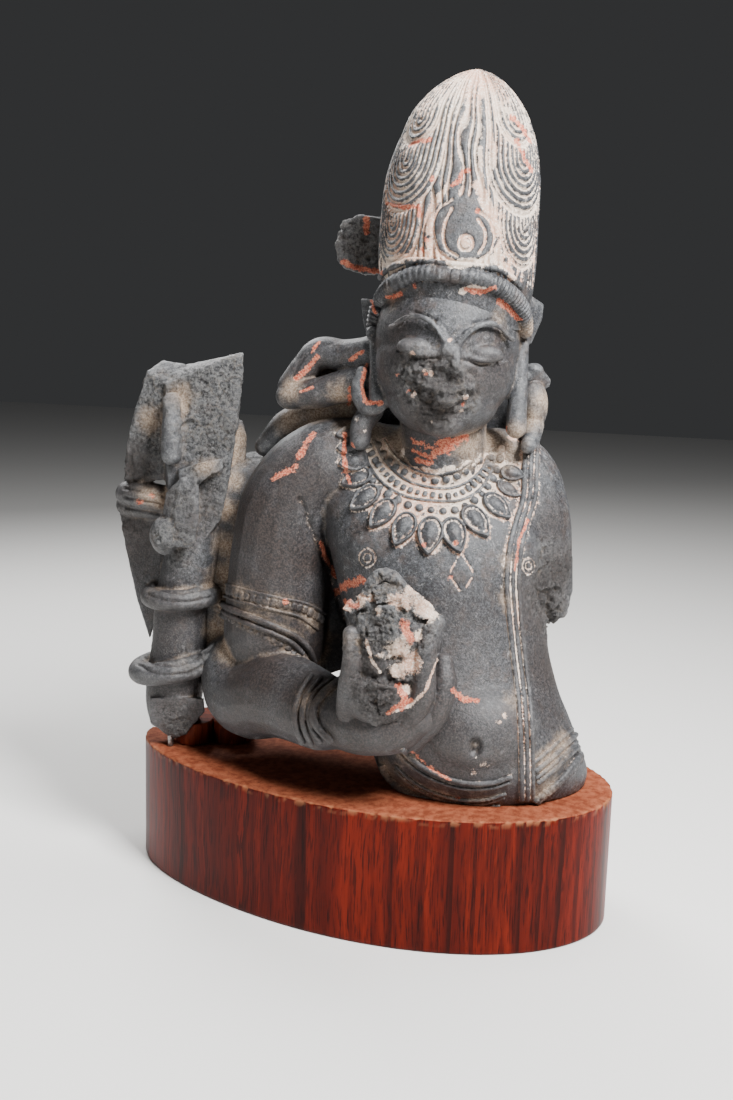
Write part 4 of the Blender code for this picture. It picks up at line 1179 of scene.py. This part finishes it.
# A brown patina that is partly painted shade: these large soft spots darken the left of the face, the neck under the
# chin, the arm, the forearm, the staff, the belly and the hollows under the hand, where they lie in shade
PATINA_AND_SHADE = [
    *patches(26, 0.9, (430, 712), (130, 470), (562, 570), (560, 630)), (450, 700, 48, 0.75), (440, 750, 46, 0.8),
    (250, 680, 44), (160, 620, 44, 0.7), (255, 520, 42), (245, 600, 42), (500, 745, 42, 0.6), (450, 640, 42, 0.45),
    (285, 620, 40), (540, 600, 40, 0.8), (180, 700, 40, 0.7), (285, 560, 36), (135, 540, 36, 0.9),
    (545, 665, 36, 0.8), (300, 700, 34), (345, 735, 34), (300, 480, 34, 0.9), (390, 700, 30, 0.9),
    (400, 780, 30, 0.7), (550, 710, 30, 0.6), (310, 380, 30, 0.5), (200, 510, 30, 0.5), (240, 420, 30, 0.3),
    (365, 670, 28, 0.8), (490, 375, 28, 0.7), (400, 730, 26), (435, 385, 26, 0.7), (430, 415, 24, 0.8),
    (395, 345, 24, 0.7), (350, 240, 24, 0.3), (320, 640, 22, 1.0), (415, 440, 22, 0.8), (310, 560, 20, 1.0),
    (553, 520, 20, 0.7), (430, 680, 20, 0.6), (560, 780, 20, 0.5), (392, 372, 20, 0.5), (285, 500, 18, 0.9),
    (470, 440, 18, 0.5), (402, 320, 16, 0.6), (372, 430, 16, 0.6), (530, 330, 16, 0.5),
]
for thing in (torso, hand, head, staff, crown, *ORNAMENTS):
    dab(thing, "patina_and_shade", PATINA_AND_SHADE, 1.5)
    dab(thing, "cream", CREAM, 1.25)
    dab(thing, "red", RED, 1.25)
    hollow = np.clip(read(thing, "hollow") / 0.5, -1, 1)
    write(thing, "dust", np.zeros(len(hollow)))
    dab(thing, "dust", [(px, py, 1.7 * size, *rest) for px, py, size, *rest in DUST], 0.95)
    soft = np.maximum(hollow, 0)
    write(thing, "dust", np.clip(read(thing, "dust") + 0.35 * soft + 0.3 * read(thing, "near"), 0, 1))
    write(thing, "wear", np.clip(-hollow, 0, 1))
# Old lime fills the ground between the beads, and the grooves between the strands of hair
throat = np.array(seen(440, 470, whole_skin))
inner = np.clip(1.35 - np.linalg.norm(corners(necklace) - throat, axis=1) / 60, 0.5, 1)
for thing, most in ((necklace, 0.95), (thread, 1.0), (girdle, 0.4), (hair, 0.25), (armlet, 0.15)):
    fill = np.maximum(np.clip(read(thing, "hollow") / 0.35, 0, 1), read(thing, "near") * 0.8)
    raise_to(thing, "cream", fill * most * (inner if thing is necklace else 1))
at = corners(torso)
by_neck = np.clip(1.5 - np.linalg.norm(at - throat, axis=1) / 62, 0, 1)
raise_to(torso, "cream", np.maximum(read(torso, "near") * by_neck, read(torso, "cut") * 0.8))
aside, depth, height = corners(crown).T
edge_share = np.clip((np.abs(aside - 43) - 16) / 22, 0, 1)
aged = 0.34 * np.clip((height - 350) / 45, 0, 1) + 0.14 * edge_share
toward_front = np.clip((26 - depth) / 30, 0.1, 1)
raise_to(crown, "cream", np.clip(read(crown, "cut") * 0.8 + aged, 0, 1) * toward_front)
print("painted")

# %% [markdown]
# ## Stone
# The stone is a dark schist, almost black where it is polished and paler where it is scuffed. One material does
# for all of it. It reads the attributes made above: wear on edges, dust in hollows, cream and red paint, the brown
# patina with the painted shade in it, and how far the surface is broken.

# %% Schist
def material(name):
    """A material whose net the next nodes are added to, and the place that its patterns read."""
    global net
    made = bpy.data.materials.new(name)
    made.use_nodes = True
    net = made.node_tree
    net.nodes.clear()
    return made, node("ShaderNodeTexCoord").outputs["Object"]


def blend(share, a, b):
    a, b = ((*c, 1) if isinstance(c, tuple) else c for c in (a, b))
    return node("ShaderNodeMix", [(0, share), (6, a), (7, b)], data_type="RGBA").outputs[2]


def attribute(name):
    return node("ShaderNodeAttribute", attribute_name=name).outputs["Fac"]


def bumps(height, strength, distance, under=None):
    links = [("Strength", strength), ("Distance", distance), ("Height", height)]
    return node("ShaderNodeBump", links + ([("Normal", under)] if under else []))


def close_material(colour, rough, bump, **plain):
    shader = node("ShaderNodeBsdfPrincipled", [("Base Color", colour), ("Roughness", rough), ("Normal", bump)])
    for key, value in plain.items():
        shader.inputs[key.replace("_", " ")].default_value = value
    node("ShaderNodeOutputMaterial", [("Surface", shader)])


schist, place = material("weathered_schist")
cloud, mottle, grain, speck, coarse = (noise(place, *kind) for kind in (
    (30, 3, 0.5), (230, 6, 0.7), (900, 4, 0.7), (2300, 2, 0.6), (480, 5, 0.75),
))
tone = blend(span(cloud, 0.3, 0.7), (0.013, 0.0135, 0.0155), (0.024, 0.025, 0.028))
tone = blend(span(grain, 0.38, 0.66), tone, (0.066, 0.068, 0.075))
tone = blend(span(noise(place, 75, 5, 0.7), 0.50, 0.66, 0.0, 0.6), tone, (0.060, 0.040, 0.032))
tone = blend(span(coarse, 0.38, 0.50, 0.9, 0.0), tone, (0.0075, 0.007, 0.0075))
scuff = product(span(mottle, 0.52, 0.66), span(coarse, 0.50, 0.62))
tone = blend(product(scuff, 0.85), tone, (0.20, 0.20, 0.205))
worn = product(attribute("wear"), span(mottle, 0.4, 0.62, 0.15, 0.8))
tone = blend(product(worn, 0.6), tone, (0.15, 0.155, 0.16))
split = product(attribute("broken"), span(coarse, 0.42, 0.60, 0.0, 0.85))
tone = blend(split, tone, (0.15, 0.147, 0.142))
bent = vectors("ADD", place, vectors("SCALE", noise(place, 120.0, 3.0, 0.5).outputs["Color"], 0.012))
crack = node("ShaderNodeTexVoronoi", [("Vector", bent), ("Scale", 95.0)],
             feature="DISTANCE_TO_EDGE").outputs["Distance"]
crack = product(span(crack, 0.0, 0.06, 1.0, 0.0), product(attribute("broken"), span(cloud, 0.4, 0.6)))
tone = blend(product(crack, 0.35), tone, (0.24, 0.19, 0.14))
fleck = product(span(speck, 0.62, 0.70), span(mottle, 0.42, 0.6, 0.1, 0.8))
tone = blend(fleck, tone, (0.42, 0.40, 0.36))
# Brown patina and painted shade: a darker brown where the body lies in shade
patina_and_shade_share = product(attribute("patina_and_shade"), span(mottle, 0.3, 0.6, 0.6, 0.95))
tone = blend(patina_and_shade_share, tone, blend(span(grain, 0.4, 0.62), (0.008, 0.0065, 0.006), (0.044, 0.030, 0.026)))
dust_edge = sums("ADD", attribute("dust"), product(sums("SUBTRACT", mottle, 0.5), 0.9))
dust = span(dust_edge, 0.18, 0.95, 0.0, 0.85)
tone = blend(dust, tone, blend(span(grain, 0.4, 0.6), (0.19, 0.125, 0.082), (0.36, 0.285, 0.215)))


def pigment(name, ragged):
    """Where a paint survives: its attribute, torn by noise of three sizes."""
    laid = attribute(name)
    total = product(laid, 1.25)
    for pattern, share in ((mottle, 1.0), (coarse, 0.8), (grain, 0.4)):
        total = sums("ADD", total, product(sums("SUBTRACT", pattern, 0.5), ragged * share))
    return product(span(total, 0.38, 0.76), span(laid, 0.02, 0.2))


cream = pigment("cream", 1.9)
cream_tone = blend(span(cloud, 0.4, 0.62), (0.60, 0.48, 0.385), (0.56, 0.33, 0.23))
cream_tone = blend(span(grain, 0.5, 0.66), cream_tone, (0.82, 0.76, 0.68))
tone = blend(product(cream, 0.93), tone, cream_tone)
red = pigment("red", 2.6)
red_tone = blend(span(grain, 0.42, 0.6), (0.36, 0.06, 0.03), (0.64, 0.24, 0.14))
tone = blend(product(red, 0.88), tone, red_tone)
chalk = sums("MAXIMUM", sums("MAXIMUM", cream, red), dust)
rough = sums("ADD", span(chalk, 0.0, 1.0, 0.53, 0.9), product(sums("SUBTRACT", mottle, 0.5), 0.3))
tooth = bumps(grain, 0.8, 0.00035, bumps(mottle, 0.5, 0.0007))
tooth = bumps(coarse, product(attribute("broken"), 0.9), 0.0035, tooth)
close_material(tone, rough, tooth, Specular_IOR_Level=0.5)
print(schist.name, "has", len(net.nodes), "nodes")

# %% [markdown]
# ## Cut to the seat and stand it up
# The underside is sawn flat where the stone rests. The staff is recessed over the small wood block and the peg, by
# a Boolean with slightly grown copies of them. Then the faces are thinned and the mesh is moved to its place, so
# that every object stays at the origin.

# %% Finish the stone
def cad_copy(name, grow):
    """A CAD node's mesh, merged and grown a little, in carving millimetres."""
    shape = bmesh.new()
    shape.from_mesh(bpy.data.objects[name].data)
    bmesh.ops.remove_doubles(shape, verts=shape.verts, dist=1e-5)
    bmesh.ops.transform(shape, matrix=WORK @ bpy.data.objects[name].matrix_world, verts=shape.verts)
    middle = sum((v.co for v in shape.verts), Vector()) / len(shape.verts)
    for v in shape.verts:
        v.co += (v.co - middle).normalized() * grow
        if v.co.z < middle.z:
            v.co.z -= 3
    return keep(name + "_tool", as_mesh(name, shape))


def recess(thing, tool):
    removed = thing.modifiers.new("recess", "BOOLEAN")
    removed.operation, removed.solver, removed.object = "DIFFERENCE", "EXACT", tool
    settle(thing)
    bpy.data.objects.remove(tool)


def largest_body(shape):
    left, best = set(shape.verts), []
    while left:
        first = left.pop()
        found, queue = [first], [first]
        while queue:
            for edge in queue.pop().link_edges:
                for v in edge.verts:
                    if v in left:
                        left.discard(v)
                        found.append(v)
                        queue.append(v)
        if len(found) > len(best):
            best = found
    stay = set(best)
    bmesh.ops.delete(shape, geom=[v for v in shape.verts if v not in stay], context="VERTS")


def saw(thing, whole=True):
    """Cut away what is below the seat and close the cut."""
    shape = bmesh.new()
    shape.from_mesh(thing.data)
    geom = list(shape.verts) + list(shape.edges) + list(shape.faces)
    made = bmesh.ops.bisect_plane(shape, geom=geom, plane_co=(0, 0, 0), plane_no=(0, 0, 1), clear_inner=True)
    edges = [e for e in made["geom_cut"] if isinstance(e, bmesh.types.BMEdge)]
    if edges:
        bmesh.ops.holes_fill(shape, edges=edges, sides=0)
    if whole:
        largest_body(shape)
    shape.to_mesh(thing.data)
    shape.free()


def stand(thing, triangles=190000):
    """Thin the faces, move the mesh to its place on the plinth and give it the stone."""
    count = sum(len(p.vertices) - 2 for p in thing.data.polygons)
    if count > triangles:
        thin = thing.modifiers.new("thin", "DECIMATE")
        thin.ratio = triangles / count
        settle(thing)
    thing.data.transform(STAND)
    thing.data.shade_smooth()
    thing.data.materials.clear()
    thing.data.materials.append(schist)
    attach(thing, "root")
    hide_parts("stone_bust")
    print(thing.name, sum(len(p.vertices) - 2 for p in thing.data.polygons), "triangles")


recess(staff, cad_copy("support_block", 0.35))
recess(staff, cad_copy("support_pin", 0.3))
for thing in (torso, staff):
    saw(thing)
for thing in (girdle, thread):
    saw(thing, whole=False)
for thing in (torso, hand, head, staff, crown, *ORNAMENTS):
    stand(thing)
for spare in (boss, box_bead, petal):
    bpy.data.objects.remove(spare)

# %% [markdown]
# ## The rosewood plinth
# The plinth is a slice of a log, fuller at one end, polished round the side and sawn on top. A grid is wrapped
# round the same outline as the CAD plinth, its bottom edge eased, and the top rim is nibbled by noise where
# the veneer of polish has chipped.

# %% Wrap the plinth
low, high = (np.array(corner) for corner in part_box("plinth"))
LENGTH, DEPTH, TALL = high[0] - low[0], 0.158, high[2]
EGG, POWER = 0.14, 1.94


def oval(a):
    x, y = np.abs(np.cos(a)) ** (2 / POWER) * np.sign(np.cos(a)), np.abs(np.sin(a)) ** (2 / POWER) * np.sign(np.sin(a))
    return np.stack([LENGTH / 2 * x, DEPTH / 2 * y * (1 + EGG * x)], axis=-1)


turns = np.linspace(0, 2 * pi, 480, endpoint=False)
rim = oval(turns)
bevel, crisp = 0.0016, 0.0009
rows = [(-0.30, 0.0), (-0.0030, 0.0)]
rows += [(-bevel * (1 - sin(t)), bevel * (1 - cos(t))) for t in np.linspace(0, pi / 2, 5)]
rows += [(0.0, z) for z in np.linspace(bevel * 2, TALL - bevel, 26)]
rows += [(-crisp * (1 - cos(t)), TALL - crisp * (1 - sin(t))) for t in np.linspace(0, pi / 2, 4)]
rows += [(-d, TALL) for d in (0.0018, 0.003, 0.005, 0.008, 0.013, 0.02, 0.03, 0.045)]
across = rim / np.linalg.norm(rim, axis=1)[:, None]
ranks = [[(x, y, z) for x, y in (rim + across * inset if inset > -0.1 else rim * 0.6)] for inset, z in rows]
heap = bmesh.new()
tube(heap, ranks)
mesh = as_mesh("rosewood_plinth", heap)
plinth = bpy.data.objects.new("rosewood_plinth", mesh)
bpy.context.scene.collection.objects.link(plinth)
print("plinth", [round(v, 4) for v in plinth.dimensions])

count = len(turns)
reach = np.array([abs(inset) + (TALL - z) for inset, z in rows])
write(plinth, "rim", np.repeat(np.clip(1 - reach / 0.0032, 0, 1), count))
write(plinth, "sawn", np.repeat([1.0 if z > TALL - 0.0005 else 0.0 for _, z in rows], count))

# %% Chip its rim
chip_tree, given = tree("chipped rim", [("Chip", "Float", 0.0011), ("Seed", "Float", 2.0)])
where = node("GeometryNodeInputPosition")
bits = node("ShaderNodeTexNoise", [
    ("Vector", where), ("W", given["Seed"]), ("Scale", 240.0), ("Detail", 3.0),
], noise_dimensions="4D")
deep = span(bits, 0.48, 0.70, kind="LINEAR")
inward = node("ShaderNodeVectorMath", [(0, vectors("MULTIPLY", where, (-1.0, -1.0, 0.0)))], operation="NORMALIZE")
chipped = pushed(given["Geometry"], product(deep, named("rim"), given["Chip"]),
                 vectors("ADD", inward, (0.0, 0.0, -0.8)))
ends(marked(chipped, "chipped", deep))
apply_tree(plinth, chip_tree)

# %% [markdown]
# ## Rosewood
# The grain stands upright, because the slice was cut across the log and polished round its side. Noise that is
# squeezed along Z makes the streaks, rings round an off-centre pith make the darker bands, and short dark dashes
# are the pores. The sawn top is paler and matt.

# %% Wood
def wood(name, dark, mid, light, gloss, sawn_top=False, size=1.0):
    """Upright grain in three tones; a larger size is a finer grain."""
    made, place = material(name)
    fibres = node("ShaderNodeMapping", [("Vector", place), ("Scale", (1, 1, 0.05))])
    sway = noise(place, 9 * size, 2, 0.5)
    swayed = vectors("ADD", fibres, node("ShaderNodeCombineXYZ",
                                         [(0, product(sway, 0.012)), (1, product(sway, -0.012))]))
    broad, streak, fine = (noise(swayed, scale * size, *kind) for scale, *kind in (
        (42, 3, 0.5), (210, 5, 0.65), (900, 3, 0.6),
    ))
    pith = node("ShaderNodeMapping", [("Vector", swayed), ("Location", (0.05, 0.22, 0))])
    rings = node("ShaderNodeTexWave", [
        ("Vector", pith), ("Scale", 26 * size), ("Distortion", 3.5), ("Detail", 3.0), ("Detail Scale", 2.0),
    ], wave_type="RINGS", rings_direction="Z", wave_profile="SAW").outputs["Fac"]
    tone = blend(span(streak, 0.32, 0.66), mid, light)
    tone = blend(product(span(broad, 0.45, 0.62), 0.7), tone, mid)
    tone = blend(product(span(rings, 0.62, 0.95), span(broad, 0.35, 0.6, 0.15, 0.75)), tone, dark)
    tone = blend(product(span(fine, 0.50, 0.66), 0.75), tone, dark)
    pore_place = node("ShaderNodeMapping", [("Vector", place), ("Scale", (1, 1, 0.07))])
    pores = node("ShaderNodeTexVoronoi", [("Vector", pore_place), ("Scale", 620.0)], feature="F1").outputs["Distance"]
    pore = span(pores, 0.14, 0.26, 1.0, 0.0)
    tone = blend(product(pore, 0.55), tone, tuple(0.4 * part for part in dark))
    rough = span(streak, 0.3, 0.7, gloss, gloss + 0.12)
    if sawn_top:
        sawn = attribute("sawn")
        raw = blend(span(streak, 0.35, 0.65), (0.15, 0.036, 0.016), (0.27, 0.085, 0.042))
        raw = blend(product(pore, 0.7), raw, (0.08, 0.020, 0.010))
        tone = blend(product(sawn, 0.85), tone, raw)
        edge = product(attribute("rim"), span(attribute("chipped"), 0.05, 0.5))
        tone = blend(product(edge, 0.8), tone, (0.30, 0.12, 0.055))
        rough = sums("MAXIMUM", rough, product(sums("MAXIMUM", sawn, edge), 0.72))
    close_material(tone, rough, bumps(pores, 0.18, 0.00015), Specular_IOR_Level=0.1)
    return made


rosewood = wood("polished_rosewood", (0.009, 0.0008, 0.0004), (0.050, 0.0028, 0.0008), (0.135, 0.0095, 0.0028), 0.28,
                True)
plinth.data.shade_smooth()
plinth.data.materials.append(rosewood)
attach(plinth, "root")
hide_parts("plinth")
block_wood = wood("satin_block_wood", (0.05, 0.008, 0.004), (0.14, 0.022, 0.009), (0.24, 0.05, 0.02), 0.45, size=1.6)
for slot in bpy.data.objects["support_block"].material_slots:
    slot.material = block_wood

# %% [markdown]
# ## The peg
# The peg is a plain steel pin, a little tarnished, so it keeps its CAD shape and only gets a finish.

# %% Pin
steel, place = material("tarnished_pin")
tarnish = noise(place, 900, 4, 0.6)
tone = blend(span(tarnish, 0.4, 0.65), (0.30, 0.29, 0.28), (0.12, 0.10, 0.085))
close_material(tone, span(tarnish, 0.3, 0.7, 0.28, 0.55), bumps(tarnish, 0.2, 0.0001), Metallic=1.0)
for slot in bpy.data.objects["support_pin"].material_slots:
    slot.material = steel

# %% [markdown]
# ## Floor and light
# A pale floor and four soft lights. The key stands high at the right, and a little in front, because the
# photograph's crown and chest are brightest there and the arm and staff lie in shade. One light behind at the left
# and one above draw the rims, and a weak one at the left fills the shade.

# %% Stage
floor_data = bpy.data.meshes.new("floor")
floor_data.from_pydata([(-4, -4, 0), (4, -4, 0), (4, 4, 0), (-4, 4, 0)], [], [(0, 1, 2, 3)])
floor = bpy.data.objects.new("floor", floor_data)
bpy.context.scene.collection.objects.link(floor)
paper, _ = material("pale_paper")
close_material((0.72, 0.71, 0.69, 1), 0.85, (0, 0, 0))
floor_data.materials.append(paper)


def softbox(name, place, aim, size, power):
    data = bpy.data.lights.new(name, "AREA")
    data.shape, data.size, data.size_y = "RECTANGLE", *size
    data.energy = power
    lamp = bpy.data.objects.new(name, data)
    bpy.context.scene.collection.objects.link(lamp)
    lamp.location = place
    lamp.rotation_euler = (Vector(aim) - Vector(place)).to_track_quat("-Z", "Y").to_euler()


softbox("key", (0.62, -0.43, 0.98), (0.05, 0, 0.30), (0.32, 0.42), 44)
softbox("back", (-0.65, 0.55, 0.95), (0, 0, 0.25), (0.5, 0.5), 15)
softbox("top", (0.05, 0.3, 1.25), (0, 0, 0.25), (0.7, 0.4), 9)
softbox("fill", (-0.95, -0.75, 0.5), (0, 0, 0.25), (0.5, 0.8), 1.8)
world = bpy.data.worlds.new("studio")
world.use_nodes = True
world.node_tree.nodes["Background"].inputs["Color"].default_value = (0.9, 0.92, 0.95, 1)
world.node_tree.nodes["Background"].inputs["Strength"].default_value = 0.04
bpy.context.scene.world = world
